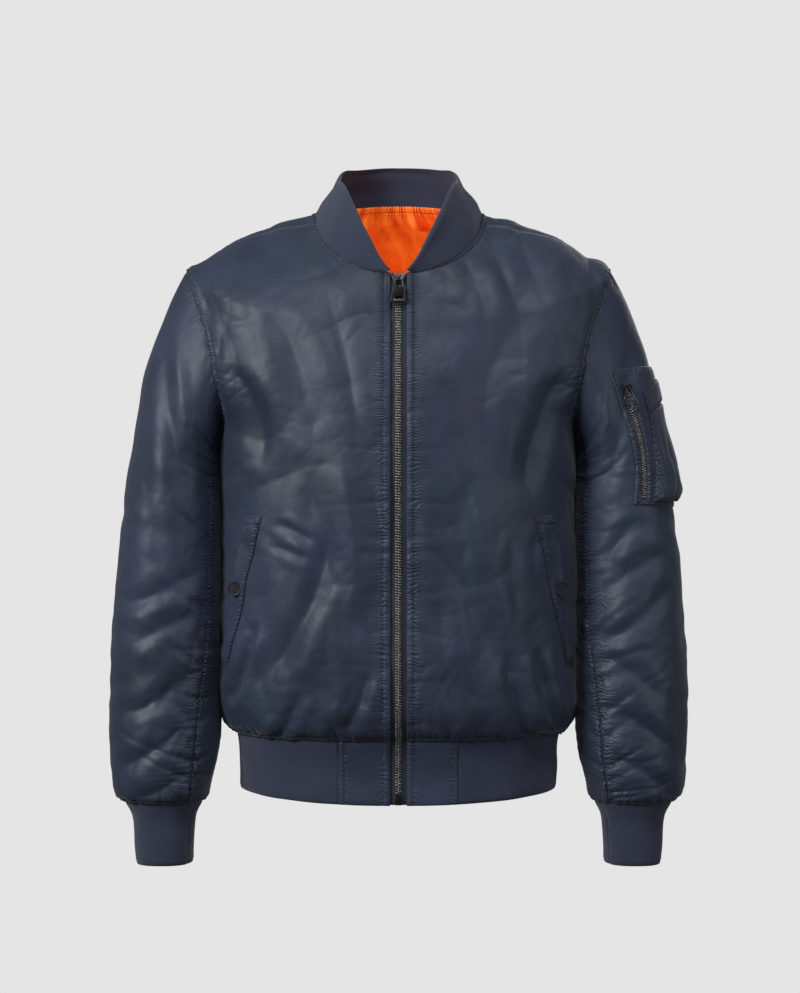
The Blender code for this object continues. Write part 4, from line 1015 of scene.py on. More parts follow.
def knitWall(name, outerAt, count, run, start, end):
    u = np.arange(count * rib["samples"] + 1)[None, :] / rib["samples"]
    pleat = np.cos(2 * np.pi * u) * (1 + 0 * run)
    uneven = 0.0008 * dapple(u * rib["pitch"], run, 0.050, 71)
    height = -0.0006 + rib["depth"] * pleat + roundEdge(run - start) + roundEdge(end - run) + uneven
    inner = (
        -cloth["knit"]
        + 0.0003 * pleat
        - roundEdge(run - start) * 0.5
        - roundEdge(end - run) * 0.5
        + uneven
    )
    uv = np.stack([u + 0 * run, run + 0 * u], axis=-1)
    return gridShell(name, outerAt(height), outerAt(inner), uv, [ribCloth])


def cuff(name, side):
    seamTurn = -60.0
    fine = np.linspace(seamTurn, seamTurn + 360.0, 721)
    step = np.linalg.norm(np.diff(sleeveForm(fine, np.full_like(fine, 0.56)), axis=0), axis=1)
    length = np.concatenate([[0.0], np.cumsum(step)])
    count = ribCount(length[-1])
    turn = np.interp(np.linspace(0.0, length[-1], count * rib["samples"] + 1), length, fine)[None, :]
    run = np.linspace(cuffSeam + cloth["gap"], cuffEnd, 15)[:, None] + 0 * turn
    turn = turn + 0 * run
    at = np.linspace(0.0, length[-1], turn.shape[1])
    seam = -0.0013 * (np.exp(-at / 0.0014) + np.exp(-(at[-1] - at) / 0.0014))[None, :]
    return knitWall(
        name, lambda height: sleeveCloth(side, turn, run, 0, height + seam), count, run, cuffSeam, cuffEnd
    )


collarLift = [  # degrees round from the middle of the back, and how far the top edge is raised there
    (0.0, 0.0), (45.0, 0.0010), (60.0, 0.0016), (70.0, 0.0), (80.0, -0.0064), (90.0, -0.0115), (
        100.0, -0.0112
    ),
    (
        110.0, -0.0048
    ), (120.0, 0.0024), (130.0, 0.0068), (140.0, 0.0100), (150.0, 0.0100), (160.0, 0.0048), (180.0, -0.0060),
]


def collar(name):
    edge = float(angleAt(zipSizes["edge"] + 0.0045, neckline))
    start, length = evenAngles(0.797, edge, 360.0 - edge, 3)
    count = ribCount(length)
    angle = evenAngles(0.797, edge, 360.0 - edge, count * rib["samples"] + 1)[0][None, :]
    low = neckline - 0.0012 + 0 * angle
    share = dense(25, 0.3, 0.3)[:, None]
    away = np.abs(180.0 - angle)
    top = collarTop + 0 * angle
    rise = fromRows(collarLift, ("away", "lift"), away)["lift"] * share**1.2
    raised = np.stack([0 * rise, 0 * rise, rise], axis=-1)
    run = low * (1 - share) + top * share
    angle = angle + 0 * run
    full = 0.0016 * np.sin(np.pi * share) * ease((150 - away) / 60) - 0.0014 * (1 - ease(share / 0.08))
    full += 0.0022 * bump(top - 0.006 - run, 0.007) * ease((175 - away) / 30)
    return knitWall(
        name, lambda height: torsoCloth(angle, run, 0, height + full + 0.0004) + raised, count, run, low, top
    )


def hemRib(name):
    tab = float(angleAt(zipSizes["tab"] - 0.0025, 0.033))
    length = evenAngles(0.033, tab, 360.0 - tab, 3)[1]
    count = ribCount(length)
    angle = evenAngles(0.033, tab, 360.0 - tab, count * rib["samples"] + 1)[0][None, :]
    run = np.linspace(0.0, ribSeam - cloth["gap"], 17)[:, None] + 0 * angle
    angle = angle + 0 * run
    intoTab = zipSizes["tab"] + 0.0006 - np.abs(torsoForm(angle, run)[..., 0])
    tuck = -0.0034 * ease(intoTab / 0.0012) * (torsoForm(angle, run)[..., 1] < 0)
    return knitWall(name, lambda height: torsoCloth(angle, run, 0, height + tuck), count, run, 0.0, ribSeam)


finish["collar"] = collar("collar.knit")
finish["hem_rib"] = hemRib("hem_rib.knit")
for label, side in sides:
    finish[f"cuff_{label}"] = cuff(f"cuff_{label}.knit", side)
print("rib knit made")


# Hem tabs, lining and zip tapes

def tabHeight(angle, run):
    x = np.abs(torsoForm(angle, run)[..., 0])
    awayZip, awayRib = x - zipSizes["edge"], zipSizes["tab"] - x
    height = -0.0002 + 0.0006 * dapple(x, run, 0.05, 83) + 0.0007 * gathers(run, awayZip, 0.0085, 0.012, 85)
    height += 0.0006 * gathers(run, awayRib, 0.009, 0.010, 87)
    height += seamRoll(awayZip, 0.0078) + seamRoll(awayRib, 0.0070) + seamRoll(ribSeam - run, 0)
    return height + roundEdge(run, 0.0018, 0.0008)


def hemTab(name, side):
    run = np.linspace(0.0, ribSeam - cloth["gap"], 41)[:, None]
    share = dense(37, 0.3, 0.3)[None, :]
    start, end = angleAt(zipSizes["edge"], run), float(angleAt(zipSizes["tab"], 0.033))
    angle = (start * (1 - share) + end * share) * side
    run = run + 0 * share
    height = tabHeight(angle, run)
    outer, inner = bodyFaces(angle, run, height)
    x = np.abs(outer[..., 0])
    seams = nearestSeam(
        [(run, (x - zipSizes["topstitch"]) * 2.6), (run, (zipSizes["tab"] - 0.0070 - x) * 2.6)]
    )
    return gridShell(name, outer, inner, bodyUv(angle, run), [seamedCloth], 0, seams)


def backLining(name):
    angle = np.linspace(108.0, 252.0, 121)[None, :]
    share = np.linspace(0.0, 1.0, 43)[:, None]
    top = neckline + 0.0030
    reach = np.sin(np.radians(np.abs(angle - 180.0))) * 0.020
    run = 0.640 + (top - 0.640) * share + reach * (1 - share)
    angle = angle + 0 * run
    around, below = np.radians(angle) * 0.10, top - run
    strip = satin["strip"]
    height = -0.0046 + np.minimum(torsoHeight(angle, run), 0.0)
    height = height - 0.0060 * (0.5 + 0.5 * gathers(around, np.abs(below - strip) + 0.003, 0.0075, 0.012, 91))
    fold = 0.5 + 0.5 * waves(around + 0.05 * below, 0.034, 93)
    height = (
        height
        - 0.0095 * ease((below - 0.009) / 0.022) * fold
        - 0.0016 * crumple(around, run, 0.022, 97)
        + 0.0012 * bump(below - 0.0025, 0.0035)
    )
    height = height - 0.0009 * bump(below - strip, 0.0012)
    outer, inner = bodyFaces(angle, run, height, cloth["lining"])
    return gridShell(name, outer, inner, np.stack([around, below], axis=-1), [liningCloth])


def zipTape(name, side):
    run = np.linspace(0.0006, 0.766, 200)[:, None]
    offset = np.linspace(0.0, zipSizes["tapeOut"], 9)[None, :]
    angle = angleAt(offset, run) * side
    run = run + 0 * offset
    cord = 0.0007 * bump(offset - 0.0040, 0.0008)
    height = -0.0036 + cord + 0.0002 * waves(run, 0.02, 95)
    outer, inner = bodyFaces(angle, run, height, 0.0008)
    return gridShell(name, outer, inner, np.stack([offset + 0 * run, run], axis=-1), [tapeCloth])


finish["lining_back"] = backLining("lining_back.satin")
for label, side in sides:
    finish[f"hem_tab_{label}"] = hemTab(f"hem_tab_{label}.cloth", side)
    finish[f"zip_tape_{label}"] = zipTape(f"zip_tape_{label}.weave", side)
print("tabs, lining and tapes made")


# Pieces laid on a panel

def between(corners, across, down):  # corners: top front, top back, bottom front, bottom back
    topFront, topBack, bottomFront, bottomBack = (np.array(corner, float) for corner in corners)
    top = topFront * (1 - across) + topBack * across
    return top * (1 - down) + (bottomFront * (1 - across) + bottomBack * across) * down


def mixCorners(corners, rows, columns):  # a grid of (turn, run) between four corners
    across = dense(columns, 0.4, 0.4)[None, :, None]
    down = dense(rows, 0.4, 0.4)[:, None, None]
    grid = between(corners, across, down)
    return grid[..., 0], grid[..., 1], across[..., 0], down[..., 0]


def edgeDistance(points):  # roughly how far each vertex is from each side of its grid, and from the nearest
    rows, columns = points.shape[:2]
    stepAcross = np.linalg.norm(np.diff(points, axis=1), axis=-1)
    stepDown = np.linalg.norm(np.diff(points, axis=0), axis=-1)
    fromLeft = np.concatenate([np.zeros((rows, 1)), np.cumsum(stepAcross, axis=1)], axis=1)
    fromTop = np.concatenate([np.zeros((1, columns)), np.cumsum(stepDown, axis=0)], axis=0)
    ways = (fromLeft, fromLeft[:, -1:] - fromLeft, fromTop, fromTop[-1:] - fromTop)
    return (*ways, np.minimum.reduce(ways))


def softEdge(nearest, wall):  # how much thinner a laid piece is near its folded edge
    return -0.55 * wall * np.exp(-np.maximum(nearest, 0) / 0.0013)


weltSizes = {
    "top": 0.322, "bottom": 0.160, "anglesTop": (45.5, 54.5), "anglesBottom": (62.0, 71.0), "wall": 0.0024
}
layLift = 0.0005


def weltPlace(side, across, down):  # angle and run at a share across and down a welt
    first, last = np.array(weltSizes["anglesTop"]), np.array(weltSizes["anglesBottom"])
    low, high = (first[k] + (last[k] - first[k]) * down for k in (0, 1))
    sway = 0.45 * waves(down, 0.8, 131 + side) * np.sin(np.pi * down)
    angle = (low * (1 - across) + high * across + sway) * side
    return angle, weltSizes["top"] + (weltSizes["bottom"] - weltSizes["top"]) * down


def welt(name, side):
    down = dense(97, 0.35, 0.35)[:, None]
    across = dense(25, 0.4, 0.4)[None, :]
    angle, run = weltPlace(side, across, down)
    run = run + 0 * across
    base = torsoHeight(angle, run)
    fromInner, fromOuter, fromTop, fromBottom, nearest = edgeDistance(torsoCloth(angle, run, 0, base))
    wall = weltSizes["wall"] + softEdge(nearest, weltSizes["wall"])
    wall += 0.0018 * bump(fromOuter - 0.003, 0.006) * np.sin(np.pi * down) ** 0.6
    wall = wall - 0.0011 * bump(fromTop - 0.0105, 0.0016) - 0.0009 * bump(fromInner - 0.0022, 0.0012)
    wall = wall - 0.0008 * bump(fromTop - 0.0030, 0.0012) - 0.0008 * bump(fromBottom - 0.0030, 0.0012)
    wall += 0.0005 * gathers(run, fromInner, 0.012, 0.012, 133 + side)
    wall += 0.0008 * dapple(fromInner, run, 0.04, 135 + side) * ease(nearest / 0.006)
    outer = torsoCloth(angle, run, layLift, base + np.maximum(wall, 0.0005))
    inner = torsoCloth(angle, run, layLift, base)
    seams = nearestSeam(
        [
            (run, (fromInner - 0.0022) * 3),
            (run, (fromOuter - 0.0022) * 3),
            (angle * 0.003, (fromTop - 0.0105) * 3),
        ]
    )
    return gridShell(name, outer, inner, bodyUv(angle, run), [seamedCloth], 0, seams)


patchCorners = ((18.5, 0.037), (110.0, 0.069), (1.5, 0.177), (106.0, 0.180))
bandCorners = ((43.5, 0.079), (100.0, 0.081), (40.0, 0.094), (100.0, 0.096))
penCorners = ((40.0, 0.096), (99.0, 0.098), (25.0, 0.174), (101.0, 0.174))
pocketZipTop, pocketZipBottom = np.array([24.5, 0.068]), np.array([14.5, 0.170])
patchWall, patchArch = 0.0015, 0.014


def patchTop(turn, run):  # how far the utility pocket's own face stands off the sleeve's form
    line = np.clip((run - pocketZipTop[1]) / (pocketZipBottom[1] - pocketZipTop[1]), -0.3, 1.3)
    zipTurn = pocketZipTop[0] + (pocketZipBottom[0] - pocketZipTop[0]) * line
    awayZip = np.radians(turn - zipTurn) * pocketRadius
    onZip = ease((run - 0.055) / 0.012) * ease((0.176 - run) / 0.006)
    pucker = 0.0008 * gathers(run, np.abs(awayZip) - 0.003, 0.0085, 0.008, 141)
    welted = 0.0011 * bump(np.abs(awayZip) - 0.0062, 0.0024) - 0.0018 * bump(awayZip, 0.0036)
    swell = 0.0010 * dapple(np.radians(turn) * pocketRadius, run, 0.045, 143)
    return sleeveHeight(1, turn, run) + layLift + patchWall + (welted + pucker) * onZip + swell + 0.0008


def pocketPatch(name):
    turn, run, across, down = mixCorners(patchCorners, 85, 73)
    run = run + patchArch * 4 * across * (1 - across) * (1 - down)
    base, top = sleeveHeight(1, turn, run), patchTop(turn, run)
    nearest = edgeDistance(sleeveCloth(1, turn, run, 0, base))[-1]
    wall = (
        (top - base - layLift) * (1 - 0.6 * np.exp(-nearest / 0.0020))
        - 0.0006 * bump(nearest - 0.0035, 0.0011)
    )
    wall += 0.0005 * gathers(run + turn * 0.001, nearest, 0.009, 0.008, 145)
    outer = sleeveCloth(1, turn, run, layLift, base + np.maximum(wall, 0.0006))
    inner = sleeveCloth(1, turn, run, layLift, base)
    uv = armUv(turn, run)
    byZip = np.abs(turn - pocketZipTop[0] + (run - pocketZipTop[1]) * 98.0) * np.pi / 180 * pocketRadius
    seams = nearestSeam([(run + uv[..., 0], (nearest - 0.0035) * 2.2), (run, (byZip - 0.0062) * 1.5)])
    return gridShell(name, outer, inner, uv, [seamedCloth], 0, seams)


def penPart(name, corners, rows, columns, bulge):
    turn, run, across, down = mixCorners(corners, rows, columns)
    base = patchTop(turn, run) + 0.0007
    fromFront, fromBack, _, fromBottom, nearest = edgeDistance(sleeveCloth(1, turn, run, 0, base))
    lift = bulge * np.sin(np.pi * across) ** 0.7 * np.sin(np.pi * down**2.2 * 0.94) ** 0.8
    around = np.radians(turn) * pocketRadius
    if bulge:
        lift += 0.0044 * gathers(around, fromBottom, 0.0085, 0.024, 151) * ease(fromBottom / 0.004)
        lift += 0.0012 * waves(around + run, 0.030, 153) * np.sin(np.pi * across) * down
        pleat = np.abs(np.sin(np.pi * across * 5)) ** 1.5
        lift = lift - 0.0012 * (1 - pleat) * ease(down * 2)
    wall = (
        patchWall
        + softEdge(nearest, patchWall)
        + 0.0003 * gathers(around + run, nearest, 0.009, 0.006, 155)
    )
    outer = sleeveCloth(1, turn, run, 0, base + lift + np.maximum(wall, 0.0005))
    inner = sleeveCloth(1, turn, run, 0, base + lift * 0.92)
    seams = nearestSeam(
        [(around, (fromBottom - 0.002) * 0.6), (run, (np.minimum(fromFront, fromBack) - 0.002) * 1.5)]
    )
    return gridShell(name, outer, inner, np.stack([around, run], axis=-1), [seamedCloth], 0, seams)


for label, side in sides:
    finish[f"welt_{label}"] = welt(f"welt_{label}.cloth", side)
finish["pocket_patch"] = pocketPatch("pocket_patch.cloth")
finish["pen_pocket"] = penPart("pen_pocket.cloth", penCorners, 61, 61, 0.0085)
finish["pen_band"] = penPart("pen_band.cloth", bandCorners, 19, 45, 0.0)
print("pockets made")


# Stitches and zip teeth: shapes repeated along guide lines by one Geometry Nodes tree

def repeatTree():
    tree = bpy.data.node_groups.new("repeat along lines", "GeometryNodeTree")
    sockets = {
        "Geometry": "Geometry",
        "Shape": "Object",
        "Pitch": "Float",
        "Uneven": "Float",
        "Seed": "Int",
        "Finish": "Material",
    }
    for socket, kind in sockets.items():
        tree.interface.new_socket(socket, in_out="INPUT", socket_type="NodeSocket" + kind)
    tree.interface.new_socket("Geometry", in_out="OUTPUT", socket_type="NodeSocketGeometry")
    nodes = Nodes(tree)
    given = tree.nodes.new("NodeGroupInput")
    wires = {socket.name: Wire(nodes, socket) for socket in given.outputs if socket.name}
    curve = nodes.add("GeometryNodeMeshToCurve", {}, {"Mesh": wires["Geometry"]})
    pointsAt = tree.nodes.new("GeometryNodeCurveToPoints")
    pointsAt.mode = "LENGTH"
    tree.links.new(curve.socket, pointsAt.inputs["Curve"])
    tree.links.new(wires["Pitch"].socket, pointsAt.inputs["Length"])
    out = nodes.add("GeometryNodeInputNamedAttribute", {"data_type": "FLOAT_VECTOR"}, {"Name": "faceOut"})
    along = nodes.add(
        "FunctionNodeAlignRotationToVector", {"axis": "X"}, {
            "Vector": Wire(nodes, pointsAt.outputs["Tangent"])
        }
    )
    stood = nodes.add(
        "FunctionNodeAlignRotationToVector", {"axis": "Z", "pivot_axis": "X"}, {
            "Rotation": along, "Vector": out
        }
    )
    low, high = (
        nodes.add(
            "ShaderNodeMath", {"operation": kind}, {0: 1.0, 1: wires["Uneven"]}
        ) for kind in ("SUBTRACT", "ADD")
    )
    size = nodes.add(
        "FunctionNodeRandomValue", {"data_type": "FLOAT"}, {
            "Min": low, "Max": high, "Seed": wires["Seed"]
        }, "Value"
    )
    shape = nodes.add("GeometryNodeObjectInfo", {}, {"Object": wires["Shape"]}, "Geometry")
    placed = nodes.add(
        "GeometryNodeInstanceOnPoints",
        {},
        {
            "Points": Wire(nodes, pointsAt.outputs["Points"]),
            "Instance": shape,
            "Rotation": stood,
            "Scale": size,
        },
    )
    real = nodes.add("GeometryNodeRealizeInstances", {}, {"Geometry": placed})
    painted = nodes.add("GeometryNodeSetMaterial", {}, {"Geometry": real, "Material": wires["Finish"]})
    end = tree.nodes.new("NodeGroupOutput")
    tree.links.new(painted.socket, end.inputs[0])
    return tree


repeating = repeatTree()


def guideLines(name, lines):  # each line is (points, out directions)
    points = np.concatenate([line[0] for line in lines])
    outs = np.concatenate([line[1] for line in lines])
    edges, first = [], 0
    for line in lines:
        count = len(line[0])
        edges += [(first + i, first + i + 1) for i in range(count - 1)]
        first += count
    mesh = bpy.data.meshes.new(name)
    mesh.from_pydata(points.tolist(), edges, [])
    mesh.attributes.new("faceOut", "FLOAT_VECTOR", "POINT").data.foreach_set(
        "vector", outs.astype(np.float32).ravel()
    )
    return addObject(name, mesh)


def repeatAlong(name, lines, shape, pitch, uneven, seed, material):
    guide = guideLines(name + "Guide", lines)
    step = guide.modifiers.new("repeat", "NODES")
    step.node_group = repeating
    values = {"Shape": shape, "Pitch": pitch, "Uneven": uneven, "Seed": seed, "Finish": material}
    for item in repeating.interface.items_tree:
        if item.item_type == "SOCKET" and item.in_out == "INPUT" and item.name in values:
            step[item.identifier] = values[item.name]
    graph = bpy.context.evaluated_depsgraph_get()
    mesh = bpy.data.meshes.new_from_object(guide.evaluated_get(graph))
    guide.modifiers.clear()
    bpy.data.objects.remove(guide)
    mesh.name = name
    mesh.shade_smooth()
    return addObject(name, mesh)


def hiddenShape(name, build):
    shape = bmesh.new()
    build(shape)
    mesh = bpy.data.meshes.new(name)
    shape.to_mesh(mesh)
    shape.free()
    return addObject(name, mesh)


def stitchShape(shape):
    bmesh.ops.create_uvsphere(shape, u_segments=5, v_segments=4, radius=1.0)
    bmesh.ops.rotate(shape, verts=shape.verts, matrix=Matrix.Rotation(math.pi / 2, 3, "Y"))
    bmesh.ops.scale(shape, verts=shape.verts, vec=(0.00088, 0.00034, 0.00030))


def toothShape(shape):
    bmesh.ops.create_cube(shape, size=1.0)
    bmesh.ops.scale(shape, verts=shape.verts, vec=(0.00165, 0.0040, 0.0022))
    bmesh.ops.bevel(shape, geom=list(shape.edges), offset=0.00035, segments=1, affect="EDGES", profile=0.5)


def along(form, outAt, heightAt, first, second, lift=stitchLift):
    first, second = pair(first, second)
    out = outAt(first, second)
    return form(first, second) + out * (heightAt(first, second) + lift)[..., None], out


def bodyLine(angle, run, lift=stitchLift, heightAt=torsoHeight):
    return along(torsoForm, torsoOut, heightAt, angle, run, lift)


def armLine(side, turn, run, lift=stitchLift, heightAt=None):
    points, out = along(
        sleeveForm, sleeveOut, heightAt or (lambda t, r: sleeveHeight(side, t, r)), turn, run, lift
    )
    return points * np.array([side, 1, 1]), out * np.array([side, 1, 1])


def bodyStitches():
    lines = []
    neckEdge = float(angleAt(zipSizes["edge"] + 0.004, neckline))
    for side in (1, -1):
        rise = np.linspace(ribSeam + 0.001, neckline - 0.003, 700)
        lines.append(bodyLine(angleAt(zipSizes["topstitch"], rise) * side, rise))
        tabRise = np.linspace(0.002, ribSeam - 0.001, 90)
        lines.append(bodyLine(angleAt(zipSizes["topstitch"], tabRise) * side, tabRise, stitchLift, tabHeight))
        seam = np.full_like(tabRise, float(angleAt(zipSizes["tab"] - 0.0070, 0.033)))
        lines.append(bodyLine(seam * side, tabRise, stitchLift, tabHeight))
        hemTurn = np.linspace(float(angleAt(0.012, 0.075)), 180.0, 600)
        lines.append(bodyLine(hemTurn * side, np.full_like(hemTurn, ribSeam + 0.0075)))
        neck = np.linspace(neckEdge, 79.0, 160)
        lines.append(bodyLine(neck * side, np.full_like(neck, neckline - 0.0075)))
        nape = np.linspace(81.0, 180.0, 160)
        lines.append(bodyLine(nape * side, np.full_like(nape, neckline - 0.0075)))
        turn, wider = np.linspace(-86.0, 86.0, 260), 1 + 0.0070 / holeRadius
        for reach, way in ((armholeFront, 1), (armholeBack, -1)):
            angle = 90.0 - way * reach * wider * np.cos(np.radians(turn))
            run = armholeMiddle + armholeHalf * wider * np.sin(np.radians(turn))
            lines.append(bodyLine(angle * side, run))
        seamRun = np.linspace(shoulder + 0.010, neckline - 0.010, 130)
        share = ease((seamRun - shoulder) / (neckline - shoulder))
        lines.append(bodyLine((90.0 - (90.0 - shoulderAtNeck) * share + 3.2) * side, seamRun))
    return lines


def weltStitches():
    lines = []
    for side in (1, -1):
        down = np.linspace(0.015, 0.985, 150)
        lines.append(bodyLine(*weltPlace(side, 0.085, down), layLift + 0.0016))
        across = np.linspace(0.08, 0.92, 30)
        for at in (0.020, 0.980):
            lines.append(bodyLine(*weltPlace(side, across, at + 0 * across), layLift + 0.0019))
    return lines


def sleeveStitches():
    lines = []
    for side in (1, -1):
        turn = np.linspace(-180.0, 180.0, 400)
        lines.append(armLine(side, turn, np.full_like(turn, cuffSeam - 0.0065)))

    def inPatch(across, down):
        place = between(patchCorners, across, down)
        place[..., 1] = (
            place[..., 1]
            + patchArch * 4 * across[..., 0] * (1 - across[..., 0]) * (1 - down[..., 0])
        )
        return place[..., 0], place[..., 1]

    t = np.linspace(0.03, 0.97, 120)[:, None]

    def lowered(turn, run):
        return patchTop(turn, run) - 0.0004

    for across, down in ((t, 0 * t + 0.030), (t, 0 * t + 0.972), (0 * t + 0.037, t), (0 * t + 0.963, t)):
        lines.append(armLine(1, *inPatch(across, down), stitchLift, lowered))
    line = np.linspace(0.0, 1.0, 90)[:, None]
    zipLine = pocketZipTop * (1 - line) + pocketZipBottom * line
    for away in (-0.0062, 0.0062):
        lines.append(
            armLine(1, zipLine[:, 0] + math.degrees(away / pocketRadius), zipLine[:, 1], 0.0004, patchTop)
        )
    share = np.linspace(0.03, 0.97, 60)[:, None]
    for down in (0.14, 0.86):
        place = between(bandCorners, share, down)
        lines.append(armLine(1, place[:, 0], place[:, 1], 0.0007 + patchWall, patchTop))
    return lines


def liningStitches():
    angle = np.linspace(110.0, 250.0, 200)
    run = np.full_like(angle, neckline + 0.0030 - satin["strip"])
    points = torsoForm(angle, run) - 0.0066 * torsoOut(angle, run)
    return [(points, -torsoOut(angle, run))]


stitchOne = hiddenShape("stitchOne", stitchShape)
toothOne = hiddenShape("toothOne", toothShape)
stitching = repeatAlong(
    "stitching", bodyStitches() + weltStitches() + sleeveStitches(), stitchOne, 0.0026, 0.10, 5, navyThread
)
neckStitching = repeatAlong("neck_stitching", liningStitches(), stitchOne, 0.0031, 0.10, 7, orangeThread)


def teethLines():
    pairOf = []
    for way in (1, -1):
        run = np.linspace(0.0130 + (0.00145 if way > 0 else 0.0), 0.752, 900)
        angle = angleAt(0.00135, run) * way
        pairOf.append(bodyLine(angle, run, -0.0020, lambda a, r: np.zeros_like(a)))
    return pairOf


teeth = repeatAlong("zip_teeth", teethLines(), toothOne, 0.0029, 0.0, 9, toothMetal)


def pocketTeethLines():
    share = np.linspace(0.0, 1.0, 160)
    pairOf = []
    for way in (1, -1):
        line = share * 0.985 + (0.008 if way > 0 else 0.0)
        turn = (
            pocketZipTop[0]
            + (pocketZipBottom[0] - pocketZipTop[0]) * line
            + way * math.degrees(0.0012 / pocketRadius)
        )
        run = pocketZipTop[1] + (pocketZipBottom[1] - pocketZipTop[1]) * line
        pairOf.append(armLine(1, turn, run, 0.0006, patchTop))
    return pairOf


smallTooth = hiddenShape("smallTooth", toothShape)
for corner in smallTooth.data.vertices:
    corner.co = corner.co * 0.92
pocketTeeth = repeatAlong("pocket_teeth", pocketTeethLines(), smallTooth, 0.0027, 0.0, 11, toothMetal)
for helper in (stitchOne, toothOne, smallTooth):
    bpy.data.objects.remove(helper)
print("stitches and teeth made")


# Hardware

pullMetal = makeMetal(
    "pull metal", {"dull": (0.050, 0.054, 0.062), "bright": (0.12, 0.125, 0.135), "roughness": 0.36}
)


# a hard piece, rounded, wider from top to bottom
def softened(name, node, width, wider=(1.0, 1.0), depth=0.0, plate=None):
    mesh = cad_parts[node].data.copy()
    points = np.array([corner.co for corner in mesh.vertices])
    share = (points[:, 2].max() - points[:, 2]) / np.ptp(points[:, 2])
    middle = (points[:, :2].max(axis=0) + points[:, :2].min(axis=0)) / 2
    scale = (
        (wider[0] + (wider[1] - wider[0]) * share)[:, None] * np.array([[1.0, depth]])
        + np.array([[0.0, 1.0 - depth]])
    )
    points[:, :2] = middle + (points[:, :2] - middle) * scale
    mesh.vertices.foreach_set("co", points.astype(np.float32).ravel())
    made = addObject(name, mesh)
    shape = bmesh.new()
    shape.from_mesh(mesh)
    bmesh.ops.remove_doubles(shape, verts=shape.verts, dist=0.00001)
    bmesh.ops.dissolve_limit(shape, angle_limit=0.02, verts=shape.verts, edges=shape.edges)
    bmesh.ops.recalc_face_normals(shape, faces=shape.faces)
    if plate:  # the solid part of a pull between its loop and its window
        low, high = points.min(axis=0), points.max(axis=0)
        size = (high - low) * np.array([plate[0], 0.7, plate[2] - plate[1]])
        centre = (low + high) / 2
        centre[2] = low[2] + (high[2] - low[2]) * (plate[1] + plate[2]) / 2
        matrix = Matrix.Translation(centre) @ Matrix.Diagonal((*size, 1.0))
        bmesh.ops.create_cube(shape, size=1.0, matrix=matrix)
    shape.to_mesh(mesh)
    shape.free()
    step = made.modifiers.new("edge", "BEVEL")
    step.width, step.segments, step.limit_method, step.angle_limit = width, 2, "ANGLE", math.radians(35)
    graph = bpy.context.evaluated_depsgraph_get()
    done = bpy.data.meshes.new_from_object(made.evaluated_get(graph))
    made.modifiers.clear()
    made.data = done
    done.materials.clear()
    done.materials.append(metal)
    for face in done.polygons:
        face.material_index = 0
        face.use_smooth = True
    return made


hardware = {
    "zip_slider": softened("zip_slider.metal", "zip_slider", 0.00035, (1.5, 1.25)),
    "zip_pull": softened("zip_pull.metal", "zip_pull", 0.00028, (1.2, 1.55), 0.0, (0.62, 0.24, 0.62)),
    "pocket_slider": softened("pocket_slider.metal", "pocket_slider", 0.00025, (1.3, 1.2), 1.0),
    "pocket_pull": softened("pocket_pull.metal", "pocket_pull", 0.00022, (1.25, 1.45), 1.0),
    "zip_box": softened("zip_box.metal", "zip_box", 0.00040),
}
hardware["pocket_pull"].data.materials[0] = pullMetal

snapSizes = {"radius": 0.0080, "rim": 0.0066, "height": 0.0028}


def snap(name, side):
    share = 0.5
    run = weltSizes["top"] + (weltSizes["bottom"] - weltSizes["top"]) * share
    angle = side * (
        sum(weltSizes["anglesTop"]) / 2 * (1 - share) + sum(weltSizes["anglesBottom"]) / 2 * share
    )
    out = unit(torsoOut(angle, run) + np.array([0.0, -2.6, 0.0]))
    foot = torsoCloth(angle, run, layLift + 0.0044)
    radius, high = snapSizes["radius"], snapSizes["height"]
    profile = [
        (0.0, high * 0.90), (0.0030, high * 0.88), (
            snapSizes["rim"] - 0.0004, high * 0.84
        ), (snapSizes["rim"], high * 0.86),
        (snapSizes["rim"] + 0.0004, high * 0.98), (radius - 0.0007, high), (radius - 0.0002, high * 0.80),
        (radius, high * 0.40), (radius - 0.0003, 0.0),
    ]
    turns = np.linspace(0.0, 2 * np.pi, 41)[:-1]
    z = Vector(out)
    up = Vector((0, 0, 1))
    y = (up - z * up.dot(z)).normalized()
    x = y.cross(z)
    shape = bmesh.new()
    rings = []
    for reach, rise in profile:
        if reach == 0.0:
            rings.append([shape.verts.new(Vector(foot) + z * rise)])
        else:
            rings.append([
                shape.verts.new(
                    Vector(foot) + z * rise + (x * math.cos(t) + y * math.sin(t)) * reach
                ) for t in turns
            ])
    for inside, outside in zip(rings[:-1], rings[1:]):
        for i in range(len(turns)):
            k = (i + 1) % len(turns)
            if len(inside) == 1:
                shape.faces.new((inside[0], outside[i], outside[k]))
            else:
                shape.faces.new((inside[i], outside[i], outside[k], inside[k]))
    shape.faces.new(rings[-1][::-1])
    bmesh.ops.recalc_face_normals(shape, faces=shape.faces)
    mesh = bpy.data.meshes.new(name)
    shape.to_mesh(mesh)
    shape.free()
    mesh.shade_smooth()
    mesh.materials.append(snapMetal)
    return addObject(name, mesh)


for label, side in sides:
    hardware[f"snap_{label}"] = snap(f"snap_{label}.metal", side)
print("hardware made")


# What each piece is, rides on and stands for

for node, piece in finish.items():
    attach(piece, "jacket")
    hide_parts(node)
for node, piece in hardware.items():
    body = {"zip_pull": "front_zip_pull", "pocket_pull": "sleeve_zip_pull"}.get(node, "jacket")
    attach(piece, body)
    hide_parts(node)
for piece, node in ((teeth, "zip_chain"), (pocketTeeth, "pocket_chain")):
    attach(piece, "jacket")
    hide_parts(node)
for piece in (stitching, neckStitching):
    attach(piece, "jacket")


# Stage, lights and camera

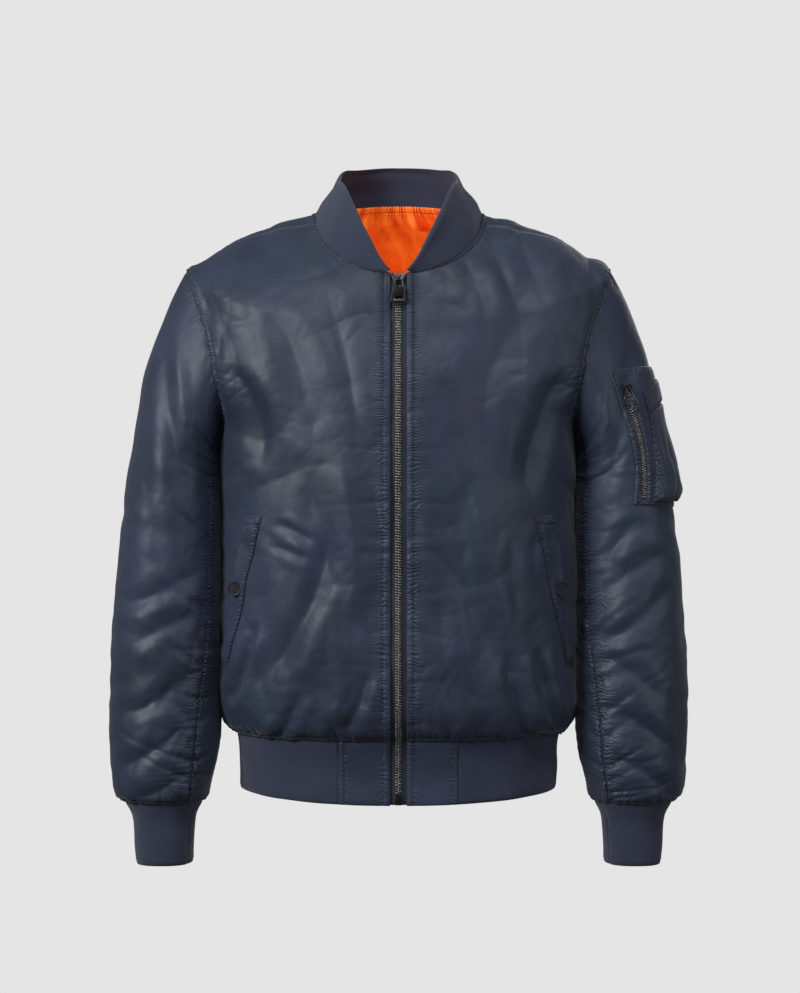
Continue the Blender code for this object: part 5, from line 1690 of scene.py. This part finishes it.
stage = {
    "pale": (0.783, 0.783, 0.783),
    "floor": -1.6,
    "ambient": 0.20,
    "key": 96.0,
    "top": 36.0,
    "side": 16.0,
    "rear": 20.0,
}
world = bpy.data.worlds.new("studio")
scene.world = world
world.use_nodes = True
air = Nodes(world.node_tree)
seen = air.add("ShaderNodeLightPath")  # the backdrop is brighter than the light it gives
back = world.node_tree.nodes["Background"]
back.inputs["Color"].default_value = (*stage["pale"], 1.0)
world.node_tree.links.new(
    (seen * (1.0 - stage["ambient"]) + stage["ambient"]).socket, back.inputs["Strength"]
)

floorMesh = bpy.data.meshes.new("floor")
shape = bmesh.new()
bmesh.ops.create_circle(shape, cap_ends=True, segments=64, radius=40.0)
bmesh.ops.translate(shape, verts=shape.verts, vec=(0, 0, stage["floor"]))
shape.to_mesh(floorMesh)
shape.free()
floor = addObject("floor", floorMesh)
paleFloor, floorNodes, floorShader = blankMaterial(
    "pale floor", {"Roughness": 1.0, "Specular IOR Level": 0.0}
)
floorShader.inputs["Base Color"].default_value = (0.0, 0.0, 0.0, 1.0)
floorShader.inputs["Emission Color"].default_value = (*stage["pale"], 1.0)
floorShader.inputs["Emission Strength"].default_value = 1.0
floorMesh.materials.append(paleFloor)
floor.visible_diffuse = floor.visible_glossy = False


def areaLight(name, place, target, size, power, tint=(1, 1, 1)):
    data = bpy.data.lights.new(name, "AREA")
    data.shape, data.size, data.energy, data.color = "DISK", size, power, tint
    made = addObject(name, data)
    made.location = place
    made.rotation_euler = (Vector(target) - Vector(place)).to_track_quat("-Z", "Y").to_euler()


areaLight("key", (-2.3, -2.1, 1.1), (0, 0, -0.3), 1.4, stage["key"])
areaLight("top", (0.3, -1.6, 2.3), (0, 0, -0.2), 1.0, stage["top"])
areaLight("rear", (0.9, 2.7, 0.9), (0, 0, -0.3), 2.0, stage["rear"])
areaLight("side", (2.4, -2.0, 0.2), (0, 0, -0.4), 1.6, stage["side"])

cameraData = bpy.data.cameras.new("camera")
cameraData.sensor_fit, cameraData.sensor_height, cameraData.lens = "VERTICAL", 24.0, 55.27
cameraData.clip_start, cameraData.clip_end = 0.1, 100.0
camera = addObject("camera", cameraData)
camera.location, camera.rotation_euler = (0.0017, -2.6, -0.322), (math.pi / 2, 0, 0)
scene.camera = camera
scene.view_settings.view_transform = "Standard"
